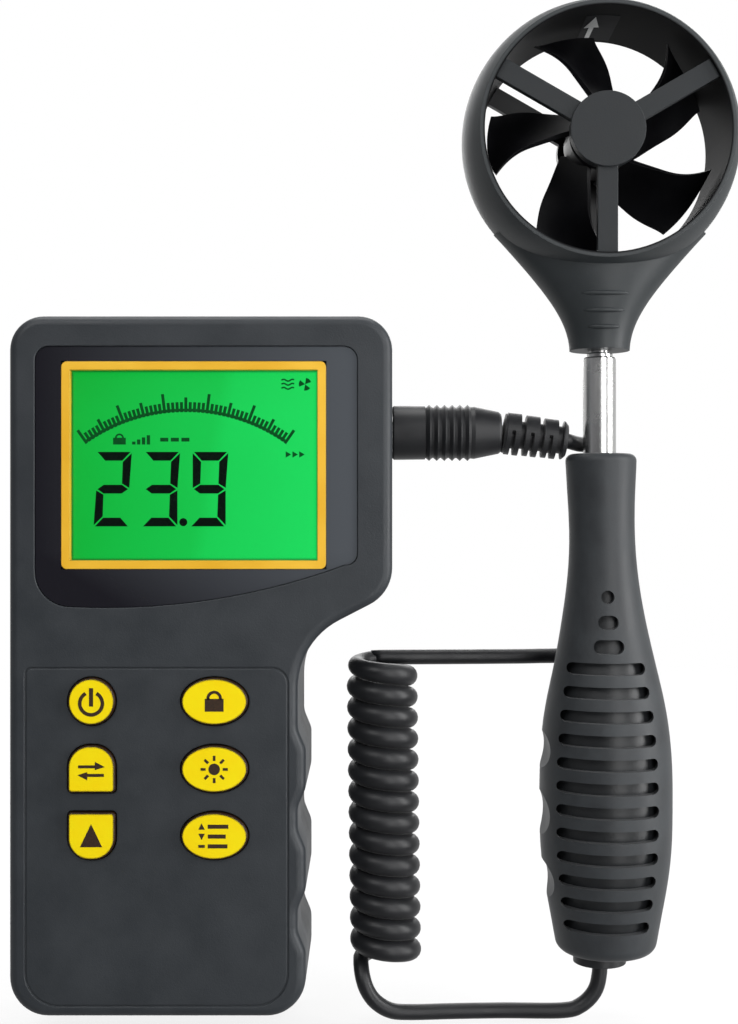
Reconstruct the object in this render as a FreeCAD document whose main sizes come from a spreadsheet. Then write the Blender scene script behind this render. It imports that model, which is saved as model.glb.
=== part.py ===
import FreeCAD, Part
import Sketcher
import math
import os
import re
from types import SimpleNamespace

# Handheld weather meter with a separate vane probe on a coiled cord.
# Millimetres. +Z up, display faces -Y. The origin is the centre of the meter's flat bottom face.

os.makedirs("parts", exist_ok=True)
Vector = FreeCAD.Vector
doc = FreeCAD.newDocument("weather_meter")

# ---------------------------------------------------------------- driving dimensions

DIMENSIONS = {
    # meter case
    "case_height": 165.0,
    "case_left": 35.2,
    "grip_right": 34.6,
    "head_right": 55.0,
    "half_depth": 19.0,
    "split_front": 2.5,
    "wall": 2.4,
    "corner_top": 8.0,
    "corner_bottom": 9.2,
    "edge_round": 2.2,
    "shoulder_low": 88.2,
    "shoulder_high": 99.7,
    "scallop_depth": 1.9,
    "scallop_pitch": 24.0,
    "scallop_first": 22.5,
    # display
    "bezel_recess": 1.2,
    "bezel_depth": 0.8,
    "panel_groove": 0.3,
    "bezel_gap": 0.15,
    "lcd_x": 8.3,
    "lcd_z": 129.8,
    "frame_width": 62.2,
    "frame_height": 48.8,
    "frame_band": 2.0,
    "frame_depth": 2.1,
    "window_depth": 0.9,
    "glass_width": 64.0,
    "glass_height": 51.5,
    "glass_depth": 2.2,
    "guide_depth": 3.0,
    "strip_depth": 2.4,
    # keys
    "key_left_x": -15.5,
    "key_right_x": 13.3,
    "key_top_z": 74.4,
    "key_middle_z": 58.6,
    "key_bottom_z": 42.9,
    "key_width": 11.2,
    "key_length": 15.8,
    "key_proud": 1.2,
    "key_gap": 0.25,
    "key_lip": 0.9,
    "key_travel": 0.8,
    "dome_radius": 3.6,
    # boards
    "board_depth": 1.6,
    "board_front": 8.0,
    "pillar_radius": 2.6,
    "pilot_radius": 1.0,
    # battery
    "battery_width": 26.5,
    "battery_height": 48.5,
    "battery_depth": 17.0,
    "battery_low": 12.5,
    "door_width": 34.0,
    "door_low": 9.0,
    "door_high": 68.0,
    "door_gap": 0.25,
    "door_depth": 2.2,
    "door_hinge_radius": 1.1,
    "hinge_inset": 1.2,
    "trunnion_radius": 0.7,
    "trunnion_length": 0.8,
    # case screws
    "screw_radius": 1.45,
    "screw_head_radius": 2.75,
    "post_radius": 3.9,
    "screw_seat": 10.0,
    # probe socket and plug
    "plug_z": 138.4,
    "plug_radius": 6.7,
    "barrel_radius": 4.7,
    "barrel_wall": 0.5,
    "barrel_left": 41.5,
    "pin_radius": 0.6,
    "pin_circle": 2.5,
    "plug_start": 55.3,
    "plug_length": 26.8,
    "relief_start": 27.1,
    "relief_length": 16.1,
    "relief_droop": 7.0,
    "socket_left": 38.0,
    # probe
    "probe_x": 106.6,
    "cord_radius": 2.1,
    "coil_x": 53.2,
    "coil_radius": 5.9,
    "coil_pitch": 5.2,
    "coil_top": 82.2,
    "coil_turns": 14.25,
    "cord_low": -4.5,
    "cord_bend": 9.4,
    "sleeve_wall": 2.0,
    "grip_top": 133.2,
    "grip_bottom": 10.3,
    "slot_top": 81.0,
    "slot_pitch": 5.64,
    "slot_height": 2.9,
    "cap_low": 7.6,
    "cap_radius": 6.5,
    # telescopic rod
    "base_outer": 4.05,
    "base_inner": 3.6,
    "middle_outer": 3.25,
    "middle_inner": 2.9,
    "top_outer": 2.55,
    "top_inner": 2.15,
    "tube_gap": 0.05,
    "tube_low": 22.0,
    "base_high": 157.0,
    "middle_high": 158.1,
    "crimp": 1.5,
    "slider_length": 12.0,
    # vane head
    "head_z": 210.3,
    "bore_radius": 29.5,
    "rim_radius": 30.7,
    "belly_radius": 34.1,
    "head_half_depth": 14.0,
    "neck_low": 158.7,
    "hub_radius": 9.0,
    "hub_step": 0.8,
    "arm_width": 4.8,
    "arm_depth": 2.2,
    "arm_plane": 10.8,
    "axle_radius": 0.75,
    "blade_count": 5.0,
    "blade_tip": 27.6,
    "impeller_half": 6.5,
    "blade_half_depth": 5.4,
    "impeller_hub": 8.2,
    "bearing_radius": 1.95,
    "bearing_depth": 1.4,
}

sheet = doc.addObject("Spreadsheet::Sheet", "sizes")
for row, (alias, number) in enumerate(DIMENSIONS.items(), start=1):
    sheet.set(f"A{row}", alias)
    sheet.set(f"B{row}", str(number))
    sheet.setAlias(f"B{row}", alias)
doc.recompute()
size = SimpleNamespace(**{alias: float(sheet.get(alias)) for alias in DIMENSIONS})


# ---------------------------------------------------------------- helpers

def linked(text):
    """Turn plain alias names in a formula into references to the spreadsheet."""
    return re.sub(r"[a-z_]{4,}", lambda word: "sizes." + word.group(), text)


def bind(item, **formulas):
    """Bind properties to formulas; x, y and z stand for the placement's position."""
    for name, text in formulas.items():
        path = f"Placement.Base.{name}" if name in "xyz" else name
        item.setExpression(path, linked(text))
    return item


def primitive(kind, name, axis="z", **formulas):
    """A Part primitive whose length runs along the given axis, with bound sizes and place."""
    item = doc.addObject(f"Part::{kind}", name)
    turns = {"z": (0, 0, 1, 0), "x": (0, 1, 0, 90), "y": (1, 0, 0, -90)}
    a, b, c, angle = turns[axis]
    item.Placement = FreeCAD.Placement(Vector(), FreeCAD.Rotation(Vector(a, b, c), angle))
    return bind(item, **formulas)


def box(name, **formulas):
    return primitive("Box", name, **formulas)


def cylinder(name, axis="z", **formulas):
    return primitive("Cylinder", name, axis, **formulas)


def fuse(name, items):
    result = doc.addObject("Part::MultiFuse", name)
    result.Shapes = items
    return result


def cut(name, base, tool):
    result = doc.addObject("Part::Cut", name)
    result.Base = base
    result.Tool = tool
    return result


def new_body(name, **place):
    body = doc.addObject("PartDesign::Body", name)
    return bind(body, **place)


def new_sketch(body, name, role, offset=None):
    sketch = body.newObject("Sketcher::SketchObject", name)
    plane = next(item for item in body.Origin.OriginFeatures if item.Role == role)
    sketch.AttachmentSupport = [(plane, "")]
    sketch.MapMode = "FlatFace"
    if offset:
        sketch.setExpression("AttachmentOffset.Base.z", linked(offset))
    return sketch


def add_circle(sketch, across, up, radius):
    """A circle whose centre and radius follow formulas of the sheet."""
    index = sketch.addGeometry(Part.Circle(Vector(1, 1, 0), Vector(0, 0, 1), 1.0))
    for kind, text, where in (("DistanceX", across, "x"), ("DistanceY", up, "y")):
        name = f"centre_{where}_{index}"
        sketch.addConstraint(Sketcher.Constraint(kind, -1, 1, index, 3, 1.0))
        sketch.renameConstraint(sketch.ConstraintCount - 1, name)
        sketch.setExpression(f"Constraints.{name}", linked(text))
    name = f"radius_{index}"
    sketch.addConstraint(Sketcher.Constraint("Radius", index, 1.0))
    sketch.renameConstraint(sketch.ConstraintCount - 1, name)
    sketch.setExpression(f"Constraints.{name}", linked(radius))


def add_rectangle(sketch, left, low, width, height):
    """A rectangle whose corner and sides follow formulas of the sheet."""
    corners = [Vector(0, 0, 0), Vector(1, 0, 0), Vector(1, 1, 0), Vector(0, 1, 0)]
    first = sketch.GeometryCount
    for number in range(4):
        sketch.addGeometry(Part.LineSegment(corners[number], corners[(number + 1) % 4]))
    for number in range(4):
        here, after = first + number, first + (number + 1) % 4
        sketch.addConstraint(Sketcher.Constraint("Coincident", here, 2, after, 1))
    for number, kind in enumerate(("Horizontal", "Vertical", "Horizontal", "Vertical")):
        sketch.addConstraint(Sketcher.Constraint(kind, first + number))
    measures = (
        ("left", "DistanceX", (-1, 1, first, 1), left),
        ("low", "DistanceY", (-1, 1, first, 1), low),
        ("width", "DistanceX", (first, 1, first, 2), width),
        ("height", "DistanceY", (first + 1, 1, first + 1, 2), height),
    )
    for label, kind, where, text in measures:
        name = f"{label}_{first}"
        sketch.addConstraint(Sketcher.Constraint(kind, *where, 1.0))
        sketch.renameConstraint(sketch.ConstraintCount - 1, name)
        sketch.setExpression(f"Constraints.{name}", linked(text))


def rounded_edges(points):
    """Lines and tangent arcs round a closed outline of (across, up, corner radius) points."""
    corners = []
    count = len(points)
    for number in range(count):
        here = Vector(points[number][0], points[number][1], 0)
        before = Vector(points[number - 1][0], points[number - 1][1], 0) - here
        after = Vector(points[(number + 1) % count][0], points[(number + 1) % count][1], 0) - here
        radius = points[number][2]
        before.normalize()
        after.normalize()
        half = before.getAngle(after) / 2
        reach = radius / math.tan(half)
        middle = (before + after).normalize()
        bulge = radius / math.sin(half) - radius
        corners.append((here + before * reach, here + middle * bulge, here + after * reach))
    edges = []
    for number in range(count):
        start, middle, end = corners[number]
        if points[number][2] > 0:
            edges.append(Part.Arc(start, middle, end))
        following = corners[(number + 1) % count][0]
        if end.distanceToPoint(following) > 1e-6:
            edges.append(Part.LineSegment(end, following))
    return edges


def inset(points, margin):
    """The same outline moved inwards by a margin; the points run anticlockwise."""
    result = []
    for number, (across, up, radius) in enumerate(points):
        before = Vector(across - points[number - 1][0], up - points[number - 1][1], 0).normalize()
        following = points[(number + 1) % len(points)]
        after = Vector(following[0] - across, following[1] - up, 0).normalize()
        inward = Vector(-before.y - after.y, before.x + after.x, 0)
        shift = inward * (margin / (1 + before.dot(after)))
        turn = before.x * after.y - before.y * after.x
        inner_radius = max(radius - margin, 0.4) if turn > 0 else radius + margin
        result.append((across + shift.x, up + shift.y, inner_radius))
    return result


def pad(body, sketch, length, name, reverse=False):
    feature = body.newObject("PartDesign::Pad", name)
    feature.Profile = sketch
    feature.Reversed = reverse
    bind(feature, Length=length)
    return feature


def pocket(body, sketch, name, length=None, reverse=False, both=False):
    """A pocket to a bound depth, or through everything when no depth is given."""
    feature = body.newObject("PartDesign::Pocket", name)
    feature.Profile = sketch
    feature.Reversed = reverse
    feature.Midplane = both
    if length:
        bind(feature, Length=length)
    else:
        feature.Type = 1
    return feature


def revolve(body, sketch, name, axis="V_Axis"):
    feature = body.newObject("PartDesign::Revolution", name)
    feature.Profile = sketch
    feature.ReferenceAxis = (sketch, [axis])
    feature.Angle = 360.0
    return feature


def edges_where(shape, test):
    return [f"Edge{number}" for number, edge in enumerate(shape.Edges, 1) if test(edge)]


def dress(body, kind, name, base, names, amount):
    """A fillet or chamfer on named edges, its size bound to the sheet."""
    feature = body.newObject(f"PartDesign::{kind}", name)
    feature.Base = (base, names)
    bind(feature, **{"Radius" if kind == "Fillet" else "Size": amount})
    return feature


def polygon_edges(points):
    closed = points + points[:1]
    return [Part.LineSegment(Vector(*a, 0), Vector(*b, 0)) for a, b in zip(closed, closed[1:])]


# ---------------------------------------------------------------- meter case

def case_outline():
    """Front view of the case: wide head, shoulder, and a grip with finger scallops."""
    right = size.grip_right
    valley = right - size.scallop_depth
    points = [(-size.case_left, 0, size.corner_bottom), (right, 0, size.corner_bottom)]
    for number in range(2):
        middle = size.scallop_first + number * size.scallop_pitch
        points += [(right, middle - 7.2, 5.0), (valley, middle - 2.6, 5.5)]
        points += [(valley, middle + 2.6, 5.5), (right, middle + 7.2, 5.0)]
    points += [(right, 63.0, 4.0), (valley, 67.6, 5.5), (valley, size.shoulder_low, 18.0)]
    points += [(size.head_right, size.shoulder_high, 9.8)]
    points += [(size.head_right, size.case_height, size.corner_top)]
    points += [(-size.case_left, size.case_height, size.corner_top)]
    return points


def bezel_outline(grow):
    """Front view of the display bezel: a rectangle with a low, swooping lower edge."""
    left, right, top = -28.9 - grow, 46.7 + grow, 157.7 + grow
    low_right = Vector(right - 3.0, 106.4 - grow, 0)
    low_left = Vector(-20.5, 96.6 - grow, 0)
    sagged = Vector(12.6, 98.3 - grow, 0)
    corner_right = Vector(right, 109.2, 0)
    corner_left = Vector(left, 105.0, 0)
    bend_right = Vector(right - 0.7, 107.3 - grow, 0)
    bend_left = Vector(left + 2.6, 98.9 - grow, 0)
    radius = 3.2 + grow
    slant = radius * (1 - math.sqrt(0.5))
    top_left = [Vector(left + radius, top, 0), Vector(left + slant, top - slant, 0),
                Vector(left, top - radius, 0)]
    top_right = [Vector(right, top - radius, 0), Vector(right - slant, top - slant, 0),
                 Vector(right - radius, top, 0)]
    return [
        Part.LineSegment(corner_right, top_right[0]),
        Part.Arc(*top_right),
        Part.LineSegment(top_right[2], top_left[0]),
        Part.Arc(*top_left),
        Part.LineSegment(top_left[2], corner_left),
        Part.Arc(corner_left, bend_left, low_left),
        Part.Arc(low_left, sagged, low_right),
        Part.Arc(low_right, bend_right, corner_right),
    ]


def ellipse_edges(across, up, half_length, half_width):
    centre = Vector(across, up, 0)
    return [Part.Ellipse(centre + Vector(half_length, 0, 0), centre + Vector(0, half_width, 0), centre)]


def key_edges(across, up, form, grow):
    """Outline of one key: round, arch, reversed arch or oval, grown by a margin."""
    half = size.key_width / 2 + grow
    if form == "oval":
        return ellipse_edges(across, up, size.key_length / 2 + grow, half)
    if form == "round":
        return [Part.Circle(Vector(across, up, 0), Vector(0, 0, 1), half)]
    turn = 1 if form == "arch" else -1
    tight, full = 0.9 + grow, half * 0.92
    points = [(across - half, up - turn * half, tight), (across + half, up - turn * half, tight),
              (across + half, up + turn * half, full), (across - half, up + turn * half, full)]
    return rounded_edges(points)


KEYS = {
    "power_button": ("key_left_x", "key_top_z", "round"),
    "unit_button": ("key_left_x", "key_middle_z", "arch"),
    "up_button": ("key_left_x", "key_bottom_z", "reversed_arch"),
    "hold_button": ("key_right_x", "key_top_z", "oval"),
    "light_button": ("key_right_x", "key_middle_z", "oval"),
    "memory_button": ("key_right_x", "key_bottom_z", "oval"),
}
CASE_POSTS = ((-29.6, 159.4), (49.4, 159.4), (-28.6, 6.8), (28.6, 6.8))
BOARD_POSTS = ((-27.5, 84.0), (27.5, 84.0), (-27.5, 20.0), (27.5, 20.0))


def shell(name, reverse):
    """Half of the hollow case, open at the split plane, which is the body's own XZ plane."""
    body = new_body(name, y="-split_front")
    outline = new_sketch(body, name + "_outline", "XZ_Plane")
    outline.addGeometry(rounded_edges(case_outline()))
    depth = "half_depth + split_front" if reverse else "half_depth - split_front"
    solid = pad(body, outline, depth, name + "_block", reverse)
    doc.recompute()
    outer = (1 if reverse else -1) * (size.half_depth + (size.split_front if reverse else -size.split_front))
    rim = edges_where(solid.Shape, lambda edge: abs(edge.BoundBox.YMin - outer) < 1e-4
                      and edge.BoundBox.YLength < 1e-4)
    dress(body, "Fillet", name + "_edge_round", solid, rim, "edge_round")
    doc.recompute()
    space = new_sketch(body, name + "_space", "XZ_Plane")
    space.addGeometry(rounded_edges(inset(case_outline(), size.wall)))
    pocket(body, space, name + "_hollow", f"{depth} - wall", reverse=not reverse)
    return body


def posts(body, name, places, radius, start, length, reverse):
    sketch = new_sketch(body, name + "_sketch", "XZ_Plane", start)
    for across, up in places:
        add_circle(sketch, f"{across}", f"{up}", radius)
    return pad(body, sketch, length, name, reverse)


def socket_hole(body, name):
    """Round opening for the plug's barrel, half in each case shell."""
    sketch = new_sketch(body, name, "YZ_Plane", "head_right - 6")
    add_circle(sketch, "split_front", "plug_z", "barrel_radius + 0.5")
    return pocket(body, sketch, name + "_cut", "12", reverse=True)


def make_front_case():
    body = shell("front_case", False)
    posts(body, "front_posts", CASE_POSTS, "post_radius - 0.4", "0",
          "half_depth - split_front - wall + 0.2", False)
    posts(body, "board_pillars", BOARD_POSTS, "pillar_radius", "board_front - split_front",
          "half_depth - board_front - wall + 0.2", False)
    pilots = new_sketch(body, "screw_pilots", "XZ_Plane")
    for across, up in CASE_POSTS:
        add_circle(pilots, f"{across}", f"{up}", "screw_radius + 0.03")
    pocket(body, pilots, "screw_pilot_holes", "12", reverse=True)
    small = new_sketch(body, "pillar_pilots", "XZ_Plane", "board_front - split_front")
    for across, up in BOARD_POSTS:
        add_circle(small, f"{across}", f"{up}", "pilot_radius")
    pocket(body, small, "pillar_pilot_holes", "6.5", reverse=True)
    recess = new_sketch(body, "bezel_recess_outline", "XZ_Plane", "half_depth - split_front - bezel_recess")
    recess.addGeometry(bezel_outline(size.bezel_gap))
    pocket(body, recess, "bezel_recess_cut", "bezel_recess + 1", reverse=True)
    opening = new_sketch(body, "display_opening", "XZ_Plane")
    add_rectangle(opening, "lcd_x - frame_width / 2 - 0.15", "lcd_z - frame_height / 2 - 0.15",
                  "frame_width + 0.3", "frame_height + 0.3")
    pocket(body, opening, "display_opening_cut", reverse=True)
    holes = new_sketch(body, "key_holes", "XZ_Plane")
    for across, up, form in KEYS.values():
        holes.addGeometry(key_edges(getattr(size, across), getattr(size, up), form, size.key_gap))
    pocket(body, holes, "key_hole_cut", reverse=True)
    panel = new_sketch(body, "panel_line", "XZ_Plane", "half_depth - split_front - panel_groove")
    corners = [(-31.4, 2.6, 8.0), (30.7, 2.6, 8.0), (30.7, 82.4, 4.0), (-31.4, 82.4, 1.5)]
    panel.addGeometry(rounded_edges(corners))
    inner = [(x - math.copysign(0.5, x), z + (0.5 if z < 40 else -0.5), r - 0.4) for x, z, r in corners]
    panel.addGeometry(rounded_edges(inner))
    pocket(body, panel, "panel_line_cut", "1", reverse=True)
    socket_hole(body, "front_socket_hole")
    return body


def make_rear_case():
    body = shell("rear_case", True)
    posts(body, "rear_posts", CASE_POSTS, "post_radius", "0", "half_depth + split_front - 0.5", True)
    through = new_sketch(body, "screw_clearance", "XZ_Plane")
    for across, up in CASE_POSTS:
        add_circle(through, f"{across}", f"{up}", "screw_radius + 0.2")
    pocket(body, through, "screw_clearance_holes", reverse=True, both=True)
    sunk = new_sketch(body, "screw_recess", "XZ_Plane", "-screw_seat - split_front")
    for across, up in CASE_POSTS:
        add_circle(sunk, f"{across}", f"{up}", "screw_head_radius + 0.3")
    pocket(body, sunk, "screw_recess_cut", "20")
    tray = new_sketch(body, "battery_tray", "XZ_Plane", "-0.2")
    add_rectangle(tray, "-door_width / 2 - 1.4", "door_low - 2.4", "door_width + 2.8",
                  "door_high - door_low + 4.8")
    pad(body, tray, "half_depth + split_front - 1", "battery_tray_block", True)
    hold = new_sketch(body, "battery_space", "XZ_Plane", "-1.4")
    add_rectangle(hold, "-door_width / 2", "door_low", "door_width", "door_high - door_low")
    pocket(body, hold, "battery_space_cut", "40")
    trunnions = new_sketch(body, "trunnion_holes", "YZ_Plane", "-door_width / 2 - 1")
    add_circle(trunnions, "half_depth + split_front - hinge_inset", "door_low + door_hinge_radius + door_gap",
               "trunnion_radius + 0.08")
    pocket(body, trunnions, "trunnion_hole_cut", "door_width + 2", reverse=True)
    lead_slot = new_sketch(body, "lead_slot", "XZ_Plane")
    add_rectangle(lead_slot, "4", "door_high - 5", "8", "4")
    pocket(body, lead_slot, "lead_slot_cut", "6", reverse=False, both=True)
    socket_hole(body, "rear_socket_hole")
    return body


def make_battery_door():
    """Flat door with a round lower edge that turns on two short trunnions, and a latch at its top."""
    hinge_z = "door_low + door_hinge_radius + door_gap"
    hinge_y = "half_depth - hinge_inset"
    left = "-door_width / 2 + door_gap"
    long = "door_width - 2 * door_gap"
    panel = box("door_panel", Length=long, Width="door_depth", x=left, y="half_depth - door_depth", z=hinge_z,
                Height="door_high - door_low - door_hinge_radius - 2 * door_gap")
    edge = cylinder("door_edge", "x", Radius="door_hinge_radius", Height=long, x=left, y=hinge_y, z=hinge_z)
    pins = cylinder("door_trunnions", "x", Radius="trunnion_radius",
                    Height="door_width + 2 * trunnion_length", x="-door_width / 2 - trunnion_length",
                    y=hinge_y, z=hinge_z)
    latch = box("door_latch", Length="10", Width="1.2", Height="4", x="-5", y="half_depth - door_depth - 1.2",
                z="door_high - 6")
    return fuse("battery_door", [panel, edge, pins, latch])


# ---------------------------------------------------------------- display

def make_bezel():
    body = new_body("display_bezel", y="-half_depth + bezel_recess")
    outline = new_sketch(body, "bezel_outline", "XZ_Plane")
    outline.addGeometry(bezel_outline(0.0))
    pad(body, outline, "bezel_depth", "bezel_plate")
    opening = new_sketch(body, "bezel_opening", "XZ_Plane")
    add_rectangle(opening, "lcd_x - frame_width / 2 - 0.1", "lcd_z - frame_height / 2 - 0.1",
                  "frame_width + 0.2", "frame_height + 0.2")
    pocket(body, opening, "bezel_opening_cut", both=True)
    return body


def make_lcd_frame():
    body = new_body("lcd_frame", y="-half_depth + bezel_recess + 1.15")
    outline = new_sketch(body, "frame_outline", "XZ_Plane")
    add_rectangle(outline, "lcd_x - frame_width / 2", "lcd_z - frame_height / 2",
                  "frame_width", "frame_height")
    block = pad(body, outline, "frame_depth", "frame_block")
    doc.recompute()
    upright = edges_where(block.Shape, lambda edge: edge.BoundBox.YLength > 1)
    dress(body, "Fillet", "frame_corners", block, upright, "1.3")
    opening = new_sketch(body, "frame_opening", "XZ_Plane")
    add_rectangle(opening, "lcd_x - frame_width / 2 + frame_band", "lcd_z - frame_height / 2 + frame_band",
                  "frame_width - 2 * frame_band", "frame_height - 2 * frame_band")
    pocket(body, opening, "frame_opening_cut", both=True)
    return body


def centred_box(name, width, height, front, depth, across="lcd_x", up="lcd_z"):
    """A plate parallel to the front of the case; front is its distance in front of the middle plane."""
    return box(name, Length=width, Width=depth, Height=height, x=f"{across} - ({width}) / 2",
               y=f"-({front})", z=f"{up} - ({height}) / 2")


def make_display_stack():
    centred_box("display_window", "frame_width - 2 * frame_band - 0.1", "frame_height - 2 * frame_band - 0.1",
                "half_depth - 0.75", "window_depth")
    centred_box("lcd_panel", "glass_width", "glass_height", "half_depth - wall - 0.1", "glass_depth")
    guide_front = "half_depth - wall - glass_depth - 0.2"
    centred_box("light_guide", "glass_width - 2", "glass_height - 7", guide_front, "guide_depth",
                up="lcd_z + 2.5")
    box("display_contact_strip", Length="glass_width - 8", Width=f"{guide_front} - board_front",
        Height="strip_depth", x="lcd_x - glass_width / 2 + 4", y=f"-({guide_front})",
        z="lcd_z - glass_height / 2 + 0.8")


# ---------------------------------------------------------------- keys and boards

def make_key(name, across, up, form):
    """A cap with a wider lip that rests behind the case wall; its local Y is zero at the lip's back."""
    body = new_body(name, y="-half_depth + wall + 0.1 + key_lip")
    cap = new_sketch(body, name + "_cap_outline", "XZ_Plane")
    cap.addGeometry(key_edges(getattr(size, across), getattr(size, up), form, 0.0))
    block = pad(body, cap, "wall + 0.1 + key_lip + key_proud", name + "_cap")
    doc.recompute()
    top = block.Shape.BoundBox.YMin
    crown = edges_where(block.Shape, lambda edge: abs(edge.BoundBox.YMax - top) < 1e-4)
    dress(body, "Fillet", name + "_crown", block, crown, "0.6")
    lip = new_sketch(body, name + "_lip_outline", "XZ_Plane")
    lip.addGeometry(key_edges(getattr(size, across), getattr(size, up), form, 0.8))
    pad(body, lip, "key_lip", name + "_lip")
    return body


def make_keypad_mat():
    mat_front = "board_front + 1.1"
    plate = box("mat_plate", Length="46", Width="1.05", Height="46", x="-23.2", y=f"-({mat_front})", z="35.6")
    domes = []
    for name, (across, up, form) in KEYS.items():
        height = "half_depth - wall - 0.1 - key_lip - key_travel - 0.1 - board_front - 1"
        dome = cylinder(name + "_dome", "y", Radius="dome_radius", Height=height, x=across,
                        y="-half_depth + wall + 0.1 + key_lip + key_travel + 0.1", z=up)
        domes.append(dome)
    return fuse("keypad_mat", [plate] + domes)


def board_outline():
    return [(-31, 13, 1), (30.2, 13, 1), (30.2, 87, 1), (50, 104, 1), (50, 154, 1), (-31, 154, 1)]


def make_main_board():
    body = new_body("main_board", y="-board_front + board_depth")
    outline = new_sketch(body, "board_outline", "XZ_Plane")
    outline.addGeometry(rounded_edges(board_outline()))
    pad(body, outline, "board_depth", "board_plate")
    holes = new_sketch(body, "board_holes", "XZ_Plane")
    for across, up in BOARD_POSTS:
        add_circle(holes, f"{across}", f"{up}", "pilot_radius + 0.25")
    pocket(body, holes, "board_hole_cut", both=True)
    return body


# left edge, low edge, width and height of each chip
CHIPS = ((0, 122, 14, 14), (24, 128, 8, 6), (-18, 100, 6, 5))


def make_board_parts():
    chips = []
    for number, (across, up, width, height) in enumerate(CHIPS):
        chips.append(box(f"chip_{number}", Length=f"{width}", Width="1.6", Height=f"{height}", x=f"{across}",
                         y="-board_front + board_depth", z=f"{up}"))
    group("board_chips", chips)


def group(name, items):
    """Separate solids kept together under one label."""
    result = doc.addObject("Part::Compound", name)
    result.Links = items
    return result


def make_screws(name, places, radius, head_radius, head_low, head_depth, tip):
    """Pan-head screws along Y: head_low is the head's seat, tip the far end of the shank."""
    screws = []
    for number, (across, up) in enumerate(places):
        shank = cylinder(f"{name}_shank_{number}", "y", Radius=radius, Height=f"({head_low}) - ({tip}) + 0.1",
                         x=f"{across}", y=tip, z=f"{up}")
        head = cylinder(f"{name}_head_{number}", "y", Radius=head_radius, Height=head_depth,
                        x=f"{across}", y=head_low, z=f"{up}")
        drive_y = f"({head_low}) + ({head_depth}) * 0.5"
        long, half = f"({head_radius}) * 1.4", f"({head_radius}) * 0.7"
        slot = box(f"{name}_slot_{number}", Length=long, Width="2", Height="0.6",
                   x=f"{across} - {half}", y=drive_y, z=f"{up} - 0.3")
        cross = box(f"{name}_cross_{number}", Length="0.6", Width="2", Height=long,
                    x=f"{across} - 0.3", y=drive_y, z=f"{up} - {half}")
        whole = fuse(f"{name}_blank_{number}", [shank, head])
        drive = fuse(f"{name}_drive_{number}", [slot, cross])
        screws.append(cut(f"{name}_{number}", whole, drive))
    return group(name, screws)


def make_battery():
    """Block battery standing on its base, with two snap terminals on top."""
    block = box("battery_block", Length="battery_width", Width="battery_depth", Height="battery_height",
                x="-battery_width / 2", y="-0.9", z="battery_low")
    terminals = []
    for side, radius in ((-1, 2.9), (1, 3.4)):
        terminals.append(cylinder(f"terminal_{side + 1}", Radius=f"{radius}", Height="2.6",
                                  x=f"{side * 6.35}", y="battery_depth / 2 - 0.9",
                                  z="battery_low + battery_height - 0.1"))
    fuse("battery", [block] + terminals)
    plate = box("snap_plate", Length="25", Width="12", Height="3.4", x="-12.5", y="battery_depth / 2 - 6.9",
                z="battery_low + battery_height + 0.05")
    holes = []
    for side in (-1, 1):
        holes.append(cylinder(f"snap_hole_{side + 1}", Radius="3.5", Height="2.7", x=f"{side * 6.35}",
                              y="battery_depth / 2 - 0.9", z="battery_low + battery_height - 0.1"))
    cut("battery_snap", plate, fuse("snap_holes", holes))


def arc_chain(points):
    """Start, direction and end of each arc in a smooth chain through the points, two arcs to a gap."""
    curve = Part.BSplineCurve()
    curve.interpolate([Vector(*point) for point in points])
    stations = [(curve.value(knot), curve.tangent(knot)[0]) for knot in curve.getKnots()]
    arcs = []
    for (start, aim), (end, final) in zip(stations, stations[1:]):
        gap = end - start
        along = gap.dot(aim + final)
        bend = 2 * (1 - aim.dot(final))
        if bend < 1e-7:
            reach = gap.dot(gap) / (2 * along)
        else:
            reach = (math.sqrt(along ** 2 + bend * gap.dot(gap)) - along) / bend
        joint = (start + end + (aim - final) * reach) * 0.5
        arcs.append((start, aim, joint))
        arcs.append((joint, (end - final * reach - start - aim * reach).normalize(), end))
    return arcs


def tube_along(points, radius):
    """A round solid along a smooth chain of arcs: a ring swept through each arc in turn, then capped."""
    arcs = arc_chain(points)
    ring = Part.Circle(arcs[0][0], arcs[0][1], radius).toShape()
    skin = [Part.Face(Part.Wire([ring]))]
    for start, aim, end in arcs:
        chord = end - start
        side = chord - aim * chord.dot(aim)
        if side.Length < 1e-5 * chord.Length:
            skin.append(ring.extrude(chord))
            ring = ring.translated(chord)
            continue
        side.normalize()
        centre = start + side * (chord.dot(chord) / (2 * chord.dot(side)))
        turn = math.degrees(2 * math.atan2(chord.dot(side), chord.dot(aim)))
        skin.append(ring.revolve(centre, aim.cross(side), turn))
        ring = ring.rotated(centre, aim.cross(side), turn)
    skin.append(Part.Face(Part.Wire([ring])))
    shell = Part.makeCompound(skin)
    shell.sewShape()
    solid = Part.Solid(shell)
    if solid.Volume < 0:
        solid.reverse()
    return solid


# depth and height along each lead, from the snap plate through the slot to the board
LEAD_PATH = (
    (1.45, 62.8), (0.9, 62.85), (0.1, 63.7), (-0.9, 64.8), (-2.4, 65.1), (-4.4, 65.1), (-6.35, 65.1),
)


def make_battery_leads():
    """Two thin insulated wires from the snap plate to the board, in one group."""
    leads = []
    for across in (5.6, 8.2):
        leads.append(tube_along([(across, deep, up) for deep, up in LEAD_PATH], 0.65))
    item = doc.addObject("Part::Feature", "battery_leads")
    item.Shape = Part.makeCompound(leads)
    return item


# ---------------------------------------------------------------- socket and plug

def pin_places():
    """Formulas for the four contact pins' places, as (y, z)."""
    places = []
    for number in range(4):
        angle = math.radians(45 + 90 * number)
        places.append((f"pin_circle * {math.cos(angle):.6f}", f"plug_z + pin_circle * {math.sin(angle):.6f}"))
    return places


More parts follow.
